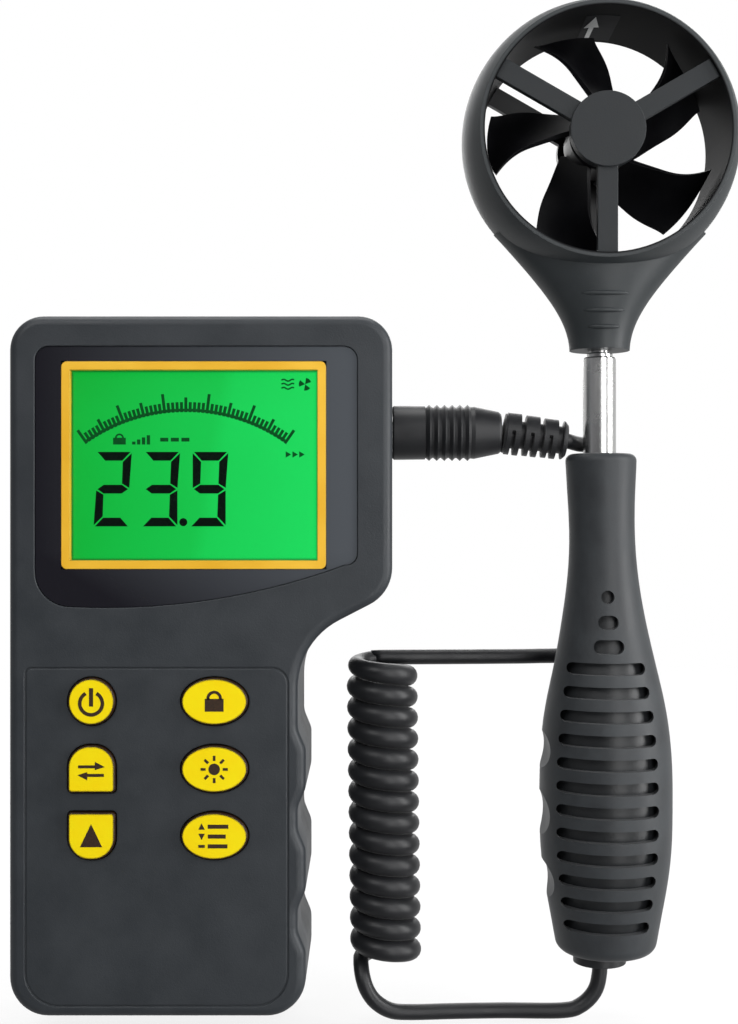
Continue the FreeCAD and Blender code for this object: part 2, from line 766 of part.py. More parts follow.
def make_jack_socket():
    """Cup along X with a pillar inside that carries the contact holes."""
    length = "head_right - wall - 0.2 - socket_left"
    outer = cylinder("socket_outer", "x", Radius="barrel_radius + 1.1", Height=length, x="socket_left",
                     z="plug_z")
    bore = cylinder("socket_bore", "x", Radius="barrel_radius + 0.08", Height="20", x="socket_left + 2.5",
                    z="plug_z")
    pillar = cylinder("socket_pillar", "x", Radius="barrel_radius - barrel_wall - 0.1",
                      Height=f"({length}) - 1.5", x="socket_left + 0.5", z="plug_z")
    holes = []
    for number, (deep, up) in enumerate(pin_places()):
        holes.append(cylinder(f"socket_hole_{number}", "x", Radius="pin_radius + 0.08", Height="20",
                              x="socket_left + 3.5", y=deep, z=up))
    cup = cut("socket_cup", outer, bore)
    core = cut("socket_core", pillar, fuse("socket_pin_holes", holes))
    fuse("jack_socket", [cup, core])


def make_plug_contacts():
    sleeve = cylinder("barrel_outer", "x", Radius="barrel_radius", Height="plug_start - barrel_left",
                      x="barrel_left", z="plug_z")
    inside = cylinder("barrel_inner", "x", Radius="barrel_radius - barrel_wall", Height="20",
                      x="barrel_left - 0.5", z="plug_z")
    cut("plug_barrel", sleeve, inside)
    pins = []
    for number, (deep, up) in enumerate(pin_places()):
        pins.append(cylinder(f"pin_{number}", "x", Radius="pin_radius",
                             Height="plug_start - barrel_left - 1.5", x="barrel_left + 1.5", y=deep, z=up))
    group("plug_pins", pins)


def plug_profile():
    """Half section of the moulded plug: plain collar, six grip rings and a taper."""
    collar, end = size.plug_radius, size.plug_length
    points = [(0.0, 0.0), (0.0, collar - 0.4), (0.4, collar), (8.0, collar - 0.1)]
    for number in range(6):
        start = 8.2 + number * 1.9
        points += [(start, collar - 0.5), (start + 0.9, collar + 0.25), (start + 1.5, collar - 0.35)]
    points += [(20.2, collar - 0.25), (end - 0.6, 5.2), (end, 4.7), (end, 0.0)]
    return points


def make_plug_body():
    body = new_body("plug_body", x="plug_start", z="plug_z")
    profile = new_sketch(body, "plug_profile", "XZ_Plane")
    profile.addGeometry(polygon_edges(plug_profile()))
    revolve(body, profile, "plug_turned", "H_Axis")
    return body


def relief_profile():
    """Half section of the strain relief: three wide ribs with deep gaps between them, and a nose."""
    bore, end = size.cord_radius + 0.12, size.relief_length
    points = [(0.0, bore), (0.42, 4.9)]
    for number in range(3):
        start, rib = 1.0 + number * 4.6, 5.2 - 0.15 * number
        points += [(start, rib), (start + 3.3, rib), (start + 3.4, 3.4), (start + 4.5, 3.4)]
    points += [(end - 0.9, 4.75), (end, 4.0), (end, bore)]
    return points


def make_strain_relief():
    """Ribbed sleeve that droops a little from the end of the plug."""
    body = new_body("plug_strain_relief")
    profile = new_sketch(body, "relief_profile", "XZ_Plane")
    profile.addGeometry(polygon_edges(relief_profile()))
    revolve(body, profile, "relief_turned", "H_Axis")
    body.Placement = FreeCAD.Placement(Vector(), FreeCAD.Rotation(Vector(0, 1, 0), size.relief_droop))
    bind(body, x="plug_start + relief_start", z="plug_z")
    return body


# ---------------------------------------------------------------- cord

def relief_point(distance):
    """A point on the strain relief's drooping axis."""
    droop = math.radians(size.relief_droop)
    return (size.plug_start + size.relief_start + distance * math.cos(droop), 0.0,
            size.plug_z - distance * math.sin(droop))


def coil_points():
    """The coil's turns, from its top at the back."""
    steps = 8
    points = []
    for number in range(int(size.coil_turns * steps) + 1):
        angle = math.pi / 2 + 2 * math.pi * number / steps
        points.append((size.coil_x + size.coil_radius * math.cos(angle), size.coil_radius * math.sin(angle),
                       size.coil_top - size.coil_pitch * number / steps))
    return points


def cord_points():
    """Centre line: strain relief, behind the rod and handle, coil, bottom loop, handle end."""
    x, low, bend = size.probe_x, size.cord_low, size.cord_bend
    left = size.coil_x - size.coil_radius
    points = [relief_point(distance) for distance in (0.5, 6.0, 11.0, 14.4, size.relief_length)]
    points += [(x - 4.9, 4.3, 135.9), (x - 1.2, 8.6, 135.4), (x + 1.6, 11.3, 132.4), (x + 2.4, 12.6, 123.0),
               (x + 1.6, 12.4, 112.0), (x + 1.2, 13.2, 101.0), (x + 0.8, 15.0, 92.0), (x - 1.5, 16.2, 84.8),
               (x - 6.5, 15.9, 82.0), (x - 14.0, 14.4, 81.7), (x - 28.0, 10.8, 81.9)]
    points += coil_points()
    points += [(left + 0.1, -2.5, 7.1), (left + 0.5, -4.4, 5.0), (left + 1.5, -5.2, 2.2),
               (left + 3.6, -4.9, -0.9), (left + 7.0, -4.4, -3.3)]
    bottom = ((left + 11.5, -3.7), (left + 18.0, -2.6), (left + 25.0, -1.5), (left + 32.0, -0.6),
              (x - bend - 9.0, 0.0), (x - bend, 0.0))
    points += [(across, deep, low) for across, deep in bottom]
    points += [(x - bend * 0.5, 0.0, low + bend * 0.134), (x - bend * 0.134, 0.0, low + bend * 0.5),
               (x, 0.0, low + bend), (x, 0.0, 6.6), (x, 0.0, 8.6), (x, 0.0, 10.6), (x, 0.0, 12.5)]
    return points


def make_cord():
    item = doc.addObject("Part::Feature", "coiled_cord")
    item.Shape = tube_along(cord_points(), size.cord_radius)
    return item


# ---------------------------------------------------------------- handle

# height, radius and sideways shift of the grip's round sections
GRIP_SECTIONS = (
    (133.2, 8.8, 0.3), (124.0, 8.35, 0.4), (114.1, 8.05, 0.6), (103.2, 8.65, 0.8), (92.0, 10.3, 1.0),
    (81.0, 12.5, 1.3), (69.0, 15.0, 1.4), (57.0, 16.15, 1.5), (45.0, 16.3, 1.5), (35.5, 16.0, 1.5),
    (26.4, 14.9, 1.5), (17.0, 13.2, 1.5), (10.3, 11.9, 1.5),
)


def loft_body(body, name, shrink, kind, low, high):
    """A loft through the grip's sections, made smaller by a margin, with its own two end heights."""
    heights = [high] + [section[0] for section in GRIP_SECTIONS[1:-1]] + [low]
    sketches = []
    for number, (height, (_, radius, shift)) in enumerate(zip(heights, GRIP_SECTIONS)):
        sketch = new_sketch(body, f"{name}_section_{number}", "XY_Plane", f"{height}")
        add_circle(sketch, f"{shift}", "0", f"{radius} - ({shrink})")
        sketches.append(sketch)
    loft = body.newObject(f"PartDesign::{kind}Loft", name)
    loft.Profile = sketches[0]
    loft.Sections = sketches[1:]
    return loft


def grip_radius(height):
    for (high, big, _), (low, small, _) in zip(GRIP_SECTIONS, GRIP_SECTIONS[1:]):
        if low <= height <= high:
            return small + (big - small) * (height - low) / (high - low)
    return GRIP_SECTIONS[-1][1]


def slot_edges(across, up, half_length, height):
    """A slot with round ends."""
    left, right = across - half_length, across + half_length
    low, high, radius = up - height / 2, up + height / 2, height / 2 - 0.01
    corners = ((left, low), (right, low), (right, high), (left, high))
    return rounded_edges([(x, z, radius) for x, z in corners])


# height, depth and radius of the finger hollows down the grip's left side
FINGER_HOLLOWS = ((60.7, 1.3, 8.0), (44.6, 1.6, 10.0), (27.6, 1.5, 8.0))


def sleeve_outside(body):
    """The grip's outer form with both ends rounded and the finger hollows cut."""
    loft = loft_body(body, "sleeve_outside", "0", "Additive", size.grip_bottom, size.grip_top)
    doc.recompute()
    top = edges_where(loft.Shape, lambda edge: abs(edge.BoundBox.ZMin - size.grip_top) < 1e-4
                      and edge.BoundBox.ZLength < 1e-4)
    rounded = dress(body, "Fillet", "sleeve_top_round", loft, top, "1.8")
    doc.recompute()
    bottom = edges_where(rounded.Shape, lambda edge: abs(edge.BoundBox.ZMax - size.grip_bottom) < 1e-4)
    dress(body, "Fillet", "sleeve_bottom_round", rounded, bottom, "3.2")
    hollows = new_sketch(body, "finger_hollows", "XZ_Plane")
    for height, depth, radius in FINGER_HOLLOWS:
        edge_x = GRIP_SECTIONS[-1][2] - grip_radius(height)
        add_circle(hollows, f"{edge_x + depth - radius:.3f}", f"{height}", f"{radius}")
    pocket(body, hollows, "finger_hollow_cut", both=True)


def make_grip_sleeve():
    """Rubber sleeve, hollow for the core, with a ladder of slots and three thumb marks."""
    body = new_body("grip_sleeve", x="probe_x")
    sleeve_outside(body)
    loft_body(body, "sleeve_inside", "sleeve_wall", "Subtractive", size.grip_bottom - 1.0,
              size.grip_top + 1.0)
    slots = new_sketch(body, "grip_slots", "XZ_Plane")
    for number in range(12):
        height = size.slot_top - number * size.slot_pitch
        slots.addGeometry(slot_edges(0.2, height, 0.745 * grip_radius(height), size.slot_height))
    pocket(body, slots, "grip_slot_cut", both=True)
    marks = new_sketch(body, "thumb_marks", "XZ_Plane")
    add_circle(marks, "0.6", "98.2", "1.6")
    marks.addGeometry(slot_edges(0.6, 92.1, 2.45, 3.4))
    marks.addGeometry(slot_edges(0.6, 86.3, 3.65, 3.4))
    pocket(body, marks, "thumb_mark_cut", "20", reverse=True)
    return body


def make_handle_core():
    """Moulded core inside the sleeve, bored for the base tube and the cord."""
    body = new_body("handle_core", x="probe_x")
    loft_body(body, "core_outside", "sleeve_wall + 0.15", "Additive", size.grip_bottom + 0.6,
              size.grip_top - 0.4)
    bore = new_sketch(body, "core_bore", "XY_Plane", "tube_low - 0.5")
    add_circle(bore, "0", "0", "base_outer + 0.02")
    pocket(body, bore, "core_bore_cut", "120", reverse=True)
    exit_hole = new_sketch(body, "cord_exit", "XY_Plane")
    add_circle(exit_hole, "0", "0", "cord_radius + 0.1")
    pocket(body, exit_hole, "cord_exit_cut", "13", reverse=True)
    return body


def make_end_cap():
    outer = cylinder("cap_outer", Radius="cap_radius", Height="grip_bottom - cap_low + 0.5", x="probe_x",
                     z="cap_low")
    hole = cylinder("cap_hole", Radius="cord_radius + 0.05", Height="10", x="probe_x", z="cap_low - 3")
    cut("handle_end_cap", outer, hole)


# ---------------------------------------------------------------- telescopic rod

def tube_profile(outer, inner, low, high, neck):
    """Half section of a thin tube, crimped inwards at its top where the neck is narrower than the bore."""
    points = [(inner, low), (outer, low), (outer, high - 0.3), (outer - 0.3, high), (neck, high)]
    if neck < inner:
        points += [(neck, high - size.crimp), (inner, high - size.crimp - 0.4)]
    return points


def make_tube(name, outer, inner, low, high, neck):
    body = new_body(name, x="probe_x")
    profile = new_sketch(body, name + "_profile", "XZ_Plane")
    profile.addGeometry(polygon_edges(tube_profile(outer, inner, low, high, neck)))
    revolve(body, profile, name + "_turned")
    return body


def make_slider(name, inner, outer, low):
    ring = cylinder(name + "_outer", Radius=outer, Height="slider_length", x="probe_x", z=low)
    hole = cylinder(name + "_hole", Radius=inner, Height="slider_length + 2", x="probe_x", z=f"{low} - 1")
    cut(name, ring, hole)


def make_rod():
    gap = size.tube_gap
    make_tube("base_tube", size.base_outer, size.base_inner, size.tube_low, size.base_high,
              size.middle_outer + gap)
    make_tube("middle_tube", size.middle_outer, size.middle_inner, size.tube_low + 2, size.middle_high,
              size.top_outer + gap)
    make_tube("top_tube", size.top_outer, size.top_inner, size.tube_low + 4, size.neck_low + 9.0,
              size.top_inner)
    make_slider("middle_slider", "middle_outer", "base_inner - tube_gap", "tube_low + 2")
    make_slider("top_slider", "top_outer", "middle_inner - tube_gap", "tube_low + 4")


# ---------------------------------------------------------------- vane head

# height below the ring's centre, half width and half depth of the neck's sections
NECK_SECTIONS = (
    (51.6, 7.4, 7.4), (47.0, 8.2, 8.0), (40.8, 11.2, 9.6), (32.4, 17.6, 11.4), (22.8, 26.2, 12.6),
)


def add_neck(body):
    sketches = []
    for number, (drop, half_width, half_depth) in enumerate(NECK_SECTIONS):
        sketch = new_sketch(body, f"neck_section_{number}", "XY_Plane", f"-{drop}")
        if half_width == half_depth:
            add_circle(sketch, "0", "0", f"{half_width}")
        else:
            sketch.addGeometry(ellipse_edges(0, 0, half_width, half_depth))
        sketches.append(sketch)
    neck = body.newObject("PartDesign::AdditiveLoft", "neck")
    neck.Profile = sketches[0]
    neck.Sections = sketches[1:]


def add_ring(body):
    """Ring turned about the flow axis, with a barrel-shaped outside."""
    section = new_sketch(body, "ring_section", "XY_Plane")
    inner, rim = size.bore_radius - 1.0, size.rim_radius
    belly, half = size.belly_radius, size.head_half_depth
    section.addGeometry([
        Part.LineSegment(Vector(inner, -half, 0), Vector(rim, -half, 0)),
        Part.Arc(Vector(rim, -half, 0), Vector(belly, 0, 0), Vector(rim, half, 0)),
        Part.LineSegment(Vector(rim, half, 0), Vector(inner, half, 0)),
        Part.LineSegment(Vector(inner, half, 0), Vector(inner, -half, 0)),
    ])
    revolve(body, section, "ring")


def make_head_housing():
    """Barrel-shaped ring on a tapering neck, bored for the impeller and for the rod."""
    body = new_body("head_housing", x="probe_x", z="head_z")
    add_neck(body)
    add_ring(body)
    bore = new_sketch(body, "flow_bore", "XZ_Plane")
    add_circle(bore, "0", "0", "bore_radius")
    pocket(body, bore, "flow_bore_cut", both=True)
    rod = new_sketch(body, "rod_bore", "XY_Plane", "neck_low - head_z")
    add_circle(rod, "0", "0", "top_outer + tube_gap")
    pocket(body, rod, "rod_bore_cut", "9.4", reverse=True)
    space = new_sketch(body, "sensor_space", "XY_Plane", "-bore_radius - 13")
    add_rectangle(space, "-4", "-2.5", "8", "5")
    pocket(body, space, "sensor_space_cut", "16", reverse=True)
    return body


def make_spider(name, low, hub_low, seat_low):
    """Hub disc with three arms that reach the ring's bore, and a bearing seat on its inner side."""
    hub = cylinder(name + "_hub", "y", Radius="hub_radius", Height="arm_depth + hub_step", x="probe_x",
                   y=hub_low, z="head_z")
    arms = []
    for number, angle in enumerate((90, 210, 330)):
        turn = FreeCAD.Rotation(Vector(0, 1, 0), angle + 90)
        side = turn.multVec(Vector(-size.arm_width / 2, 0, 0))
        arm = box(f"{name}_arm_{number}", Length="arm_width", Width="arm_depth", Height="bore_radius + 1")
        arm.Placement = FreeCAD.Placement(Vector(), turn)
        arms.append(bind(arm, x=f"probe_x + ({side.x:.5f})", y=low, z=f"head_z + ({side.z:.5f})"))
    star = doc.addObject("Part::Common", name + "_arms")
    star.Base = fuse(name + "_long_arms", arms)
    star.Tool = cylinder(name + "_reach", "y", Radius="bore_radius", Height="arm_depth", x="probe_x", y=low,
                         z="head_z")
    seat = cylinder(name + "_seat", "y", Radius="bearing_radius + 0.05", Height="1.6", x="probe_x",
                    y=seat_low, z="head_z")
    cut(name, fuse(name + "_blank", [hub, star]), seat)


def make_bearing(name, low):
    ring = cylinder(name + "_ring", "y", Radius="bearing_radius", Height="bearing_depth", x="probe_x", y=low,
                    z="head_z")
    hole = cylinder(name + "_hole", "y", Radius="axle_radius + 0.05", Height="3", x="probe_x",
                    y=f"{low} - 1", z="head_z")
    cut(name, ring, hole)


def blade_section(height, far_x, near_x, thickness, camber):
    """A thin curved section of a blade that stands on the Z direction, from its far to its near edge."""
    far, near = Vector(far_x, size.blade_half_depth, height), Vector(near_x, -size.blade_half_depth, height)
    chord = near - far
    across = Vector(chord.y, -chord.x, 0).normalize()
    points = []
    for side in (1, -1):
        for step in range(9):
            along = step / 8 if side > 0 else 1 - step / 8
            bow = 4 * camber * along * (1 - along)
            points.append(far + chord * along + across * (bow + side * thickness / 2))
    face, back = Part.BSplineCurve(), Part.BSplineCurve()
    face.interpolate(points[:9])
    back.interpolate(points[9:])
    leading = Part.LineSegment(points[8], points[9])
    trailing = Part.LineSegment(points[17], points[0])
    return Part.Wire([face.toShape(), leading.toShape(), back.toShape(), trailing.toShape()])


# height along the blade, places of its far and near edges, thickness and camber
BLADE_SECTIONS = (
    (6.0, 6.2, -0.2, 1.5, 0.2), (10.0, 6.0, -1.4, 1.4, 0.4), (14.0, 5.65, -3.6, 1.3, 0.7),
    (18.0, 5.4, -5.9, 1.2, 1.0), (21.5, 4.7, -9.2, 1.1, 1.2), (24.5, 3.7, -14.5, 1.0, 1.3),
    (28.0, 2.9, -22.0, 1.0, 1.4),
)
BLADE_START_ANGLE = -8


def make_impeller():
    """Hub with rounded ends and a ring of twisted, forward-swept blades, bored for its axle."""
    flow, half = Vector(0, 1, 0), size.impeller_half
    hub = Part.makeCylinder(size.impeller_hub, 2 * half, Vector(0, -half, 0), flow)
    hub = hub.makeFillet(1.2, [edge for edge in hub.Edges if edge.BoundBox.YLength < 1e-6])
    blade = Part.makeLoft([blade_section(*section) for section in BLADE_SECTIONS], True)
    blade = blade.common(Part.makeCylinder(size.blade_tip, 2 * half + 2, Vector(0, -half - 1, 0), flow))
    count = int(size.blade_count)
    shape = hub
    for number in range(count):
        turned = blade.copy()
        turned.rotate(Vector(), flow, number * 360.0 / count + BLADE_START_ANGLE)
        shape = shape.fuse(turned)
    shape = shape.cut(Part.makeCylinder(size.axle_radius, 2 * half + 2, Vector(0, -half - 1, 0), flow))
    item = doc.addObject("Part::Feature", "impeller")
    item.Shape = shape.removeSplitter()
    return bind(item, x="probe_x", z="head_z")


def make_head_parts():
    make_spider("front_spider", "-arm_plane - arm_depth", "-arm_plane - arm_depth - hub_step",
                "-arm_plane - 1.5")
    make_spider("rear_spider", "arm_plane", "arm_plane", "arm_plane - 0.1")
    make_bearing("front_bearing", "-arm_plane - 1.45")
    make_bearing("rear_bearing", "arm_plane + 0.05")
    cylinder("impeller_axle", "y", Radius="axle_radius", Height="2 * arm_plane + 2.4", x="probe_x",
             y="-arm_plane - 1.2", z="head_z")
    box("sensor_board", Length="7.4", Width="1.2", Height="9.5", x="probe_x - 3.7", y="-0.6",
        z="head_z - bore_radius - 12.8")
    box("speed_sensor", Length="5", Width="1.5", Height="4", x="probe_x - 2.5", y="0.65",
        z="head_z - bore_radius - 7.5")


# ---------------------------------------------------------------- build and export

def build():
    make_front_case()
    make_rear_case()
    make_battery_door()
    make_bezel()
    make_lcd_frame()
    make_display_stack()
    for name, (across, up, form) in KEYS.items():
        make_key(name, across, up, form)
    make_keypad_mat()
    make_main_board()
    make_board_parts()
    make_screws("case_screws", CASE_POSTS, "screw_radius", "screw_head_radius", "screw_seat + 0.02",
                "2.2", "-12")
    make_screws("board_screws", BOARD_POSTS, "pilot_radius - 0.02", "2.0",
                "-board_front + board_depth + 0.02", "1.3", "-board_front - 5.5")
    make_battery()
    make_battery_leads()
    make_jack_socket()
    make_plug_contacts()
    make_plug_body()
    make_strain_relief()
    make_cord()
    make_grip_sleeve()
    make_handle_core()
    make_end_cap()
    make_rod()
    make_head_housing()
    make_head_parts()
    make_impeller()
    doc.recompute()


NODES = (
    "front_case", "rear_case", "battery_door", "display_bezel", "lcd_frame", "display_window", "lcd_panel",
    "light_guide", "display_contact_strip", "power_button", "unit_button", "up_button", "hold_button",
    "light_button", "memory_button", "keypad_mat", "main_board", "board_chips", "case_screws", "board_screws",
    "battery", "battery_snap", "battery_leads", "jack_socket", "plug_barrel", "plug_pins", "plug_body",
    "plug_strain_relief", "coiled_cord", "grip_sleeve", "handle_core", "handle_end_cap", "base_tube",
    "middle_tube", "middle_slider", "top_tube", "top_slider", "head_housing", "front_spider", "rear_spider",
    "front_bearing", "rear_bearing", "impeller_axle", "impeller", "speed_sensor", "sensor_board",
)


def check_and_export():
    """Stop on any failed object or bad shape, then write one file for each sub-part."""
    problems = []
    for item in doc.Objects:
        if "Invalid" in item.State or "Error" in item.State:
            problems.append(f"{item.Label}: {item.State}")
    for name in NODES:
        shape = doc.getObject(name).Shape
        if shape.isNull() or not shape.isValid() or not shape.Solids:
            problems.append(f"{name}: no valid solid")
    if problems:
        raise RuntimeError("; ".join(problems))
    for name in NODES:
        doc.getObject(name).Shape.exportStep(f"parts/{name}.step")


build()
check_and_export()
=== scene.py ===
import math

import bmesh
import bpy
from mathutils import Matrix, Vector


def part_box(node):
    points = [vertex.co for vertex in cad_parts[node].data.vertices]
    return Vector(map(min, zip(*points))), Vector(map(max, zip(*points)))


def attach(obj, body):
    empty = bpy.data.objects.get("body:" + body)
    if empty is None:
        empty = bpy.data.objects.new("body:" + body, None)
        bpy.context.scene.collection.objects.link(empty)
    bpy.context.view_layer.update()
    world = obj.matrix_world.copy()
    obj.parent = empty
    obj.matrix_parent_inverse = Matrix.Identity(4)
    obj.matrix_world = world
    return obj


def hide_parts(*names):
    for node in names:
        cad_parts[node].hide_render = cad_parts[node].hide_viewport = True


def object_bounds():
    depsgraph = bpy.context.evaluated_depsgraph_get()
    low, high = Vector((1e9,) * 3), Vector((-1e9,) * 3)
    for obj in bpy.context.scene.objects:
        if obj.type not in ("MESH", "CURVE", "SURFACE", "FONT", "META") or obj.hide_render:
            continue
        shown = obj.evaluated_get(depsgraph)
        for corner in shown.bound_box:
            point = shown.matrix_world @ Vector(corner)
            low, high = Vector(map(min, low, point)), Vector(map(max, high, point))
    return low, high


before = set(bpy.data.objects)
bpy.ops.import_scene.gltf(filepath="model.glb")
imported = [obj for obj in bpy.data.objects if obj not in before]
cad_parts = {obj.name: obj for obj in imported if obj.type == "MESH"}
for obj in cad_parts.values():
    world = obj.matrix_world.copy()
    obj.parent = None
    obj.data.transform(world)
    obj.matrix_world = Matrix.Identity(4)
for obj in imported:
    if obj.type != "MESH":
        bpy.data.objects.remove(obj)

CAD_LOW, CAD_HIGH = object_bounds()
MM = 0.001


# ---------------------------------------------------------------- places taken from the frame

def centre(node):
    """The middle of a CAD node's box."""
    low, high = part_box(node)
    return (low + high) / 2


PROBE_X = centre("base_tube").x
HEAD = centre("impeller")
BORE_RADIUS = 29.5  # the vane ring's inner radius, in mm
PLUG_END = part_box("plug_body")[1].x
PLUG_Z = centre("plug_body").z
LCD_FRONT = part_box("lcd_panel")[0].y
FRAME_LOW, FRAME_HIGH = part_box("lcd_frame")
LCD_MID = (FRAME_LOW + FRAME_HIGH) / 2
FRAME_BAND = 2.0 * MM
LCD_HALF = (FRAME_HIGH - FRAME_LOW) / 2 - Vector((FRAME_BAND, 0, FRAME_BAND))


# ---------------------------------------------------------------- shader helpers

def srgb(red, green, blue):
    """An 8-bit screen colour as linear RGBA."""
    linear = []
    for value in (red, green, blue):
        part = value / 255
        linear.append(part / 12.92 if part <= 0.04045 else ((part + 0.055) / 1.055) ** 2.4)
    return (*linear, 1.0)


def scaled(colour, factor):
    """A linear colour made brighter or darker."""
    return tuple(min(1.0, part * factor) for part in colour[:3]) + (1.0,)


class Shader:
    """A material being built: its node tree, and short ways to add and join nodes."""

    def __init__(self, name):
        self.material = bpy.data.materials.new(name)
        self.material.use_nodes = True
        self.tree = self.material.node_tree
        self.tree.nodes.clear()
        self.output = self.node("ShaderNodeOutputMaterial")
        self.surface = self.node("ShaderNodeBsdfPrincipled")
        self.join(self.surface.outputs["BSDF"], self.output.inputs["Surface"])
        self.place = self.node("ShaderNodeTexCoord").outputs["Object"]

    def node(self, kind, **inputs):
        """Add a node and feed the named inputs."""
        made = self.tree.nodes.new(kind)
        for key, value in inputs.items():
            self.feed(made.inputs[key.replace("_", " ")], value)
        return made

    def join(self, source, target):
        """Link an output to an input."""
        self.tree.links.new(source, target)

    def feed(self, socket, value):
        """Join a socket to a node's output, or give it a plain value."""
        if isinstance(value, bpy.types.NodeSocket):
            self.join(value, socket)
        else:
            socket.default_value = value

    def noise(self, scale, detail=3.0, roughness=0.5, stretch=None):
        """Noise over the object, in features per metre."""
        vector = self.place
        if stretch:
            vector = self.node("ShaderNodeMapping", Vector=vector, Scale=stretch).outputs[0]
        texture = self.node("ShaderNodeTexNoise", Vector=vector, Scale=scale, Detail=detail,
                            Roughness=roughness)
        return texture.outputs["Fac"]

    def math(self, operation, first, second=0.0, clamp=False):
        """One arithmetic step on values or node outputs."""
        made = self.tree.nodes.new("ShaderNodeMath")
        made.operation = operation
        made.use_clamp = clamp
        for socket, value in zip(made.inputs, (first, second)):
            self.feed(socket, value)
        return made.outputs[0]

    def spread(self, value, low, high, to_low=0.0, to_high=1.0):
        """Map a value's range onto another, clamped."""
        made = self.node("ShaderNodeMapRange", Value=value)
        made.inputs["From Min"].default_value = low
        made.inputs["From Max"].default_value = high
        made.inputs["To Min"].default_value = to_low
        made.inputs["To Max"].default_value = to_high
        return made.outputs[0]

    def mix(self, factor, first, second):
        """Blend two colours."""
        made = self.tree.nodes.new("ShaderNodeMix")
        made.data_type = "RGBA"
        for number, value in ((0, factor), (6, first), (7, second)):
            self.feed(made.inputs[number], value)
        return made.outputs[2]

    def bump(self, height, strength, distance, normal=None):
        """A normal with fine relief from a height."""
        made = self.node("ShaderNodeBump", Height=height, Strength=strength, Distance=distance)
        if normal:
            self.join(normal, made.inputs["Normal"])
        return made.outputs[0]

    def set(self, **inputs):
        """Feed the main surface's sockets."""
        for key, value in inputs.items():
            self.feed(self.surface.inputs[key.replace("_", " ")], value)

    def axis(self, letter):
        """The place along one of the object's axes."""
        split = self.node("ShaderNodeSeparateXYZ", Vector=self.place)
        return split.outputs[letter]

    def edge_mask(self, radius):
        """A mask, about one on edges and zero on flat stretches, and the normal rounded over the edges."""
        bevel = self.tree.nodes.new("ShaderNodeBevel")
        bevel.samples = 4
        bevel.inputs["Radius"].default_value = radius
        plain = self.node("ShaderNodeNewGeometry").outputs["Normal"]
        dot = self.tree.nodes.new("ShaderNodeVectorMath")
        dot.operation = "DOT_PRODUCT"
        self.join(bevel.outputs[0], dot.inputs[0])
        self.join(plain, dot.inputs[1])
        return self.spread(dot.outputs["Value"], 0.995, 0.9), bevel.outputs[0]


# ---------------------------------------------------------------- materials

def moulded_plastic(name, colour, light, rough, grain=2600.0, bump=0.25, bevel=0.4 * MM, gloss=0.45):
    """Spark-textured moulding: mottled tone, fine grain, edges a little smoother and lighter with a painted
    highlight.
    """
    shader = Shader(name)
    mottle = shader.noise(90.0, 4.0, 0.6)
    fine = shader.noise(grain, 2.0, 0.6)
    edge, rounded = shader.edge_mask(bevel)
    tone = shader.mix(shader.spread(mottle, 0.35, 0.7), colour, light)
    # painted highlight: edges mixed towards a lighter tone
    tone = shader.mix(shader.math("MULTIPLY", edge, 0.35), tone, scaled(light, 2.2))
    dust = shader.spread(shader.noise(700.0, 5.0, 0.7), 0.68, 0.8, 0.0, 0.25)
    tone = shader.mix(dust, tone, scaled(light, 1.7))
    worn = shader.math("MULTIPLY", edge, -0.08)
    roughness = shader.math("ADD", shader.spread(mottle, 0.3, 0.7, rough - 0.05, rough + 0.06), worn)
    shader.set(Base_Color=tone, Roughness=roughness, Normal=shader.bump(fine, bump, 0.12 * MM, rounded))
    shader.set(Specular_IOR_Level=gloss)
    return shader.material


def ring_plastic():
    """The head's moulding, with a painted highlight along its edges and painted shade, near black and matt,
    where it lines the bore.
    """
    shader = Shader("head_plastic")
    mottle = shader.noise(90.0, 4.0, 0.6)
    fine = shader.noise(3000.0, 2.0, 0.6)
    edge, rounded = shader.edge_mask(0.3 * MM)
    across = shader.math("SUBTRACT", shader.axis("X"), PROBE_X)
    up = shader.math("SUBTRACT", shader.axis("Z"), HEAD.z)
    squares = shader.math("ADD", shader.math("MULTIPLY", across, across), shader.math("MULTIPLY", up, up))
    distance = shader.math("SQRT", squares)
    # painted shade: where the moulding lines the bore it is painted near black and made matt and less glossy
    inside = shader.spread(distance, (BORE_RADIUS + 0.15) * MM, (BORE_RADIUS + 0.55) * MM, 1.0, 0.0)
    tone = shader.mix(shader.spread(mottle, 0.35, 0.7), srgb(46, 50, 52), srgb(52, 56, 58))
    # painted highlight: edges mixed towards a lighter grey
    tone = shader.mix(shader.math("MULTIPLY", edge, 0.35), tone, srgb(84, 88, 90))
    tone = shader.mix(inside, tone, srgb(13, 13, 15))
    shader.set(Base_Color=tone, Roughness=shader.spread(inside, 0.0, 1.0, 0.46, 0.75))
    shader.set(Specular_IOR_Level=shader.spread(inside, 0.0, 1.0, 0.4, 0.12))
    shader.set(Normal=shader.bump(fine, 0.2, 0.12 * MM, rounded))
    return shader.material


def soft_rubber(name, colour, light, rough, grain=1500.0, bump=0.2):
    """Rubber or soft PVC: dull, slightly cloudy, with a faint sheen at grazing angles."""
    shader = Shader(name)
    cloud = shader.noise(150.0, 5.0, 0.6)
    fine = shader.noise(grain, 3.0, 0.6)
    tone = shader.mix(shader.spread(cloud, 0.35, 0.7), colour, light)
    dust = shader.spread(shader.noise(900.0, 4.0, 0.7), 0.66, 0.8, 0.0, 0.2)
    tone = shader.mix(dust, tone, scaled(light, 2.0))
    shader.set(Base_Color=tone, Roughness=shader.spread(cloud, 0.3, 0.7, rough - 0.06, rough + 0.08))
    shader.set(Normal=shader.bump(fine, bump, 0.1 * MM), Sheen_Weight=0.12, Sheen_Roughness=0.4)
    return shader.material


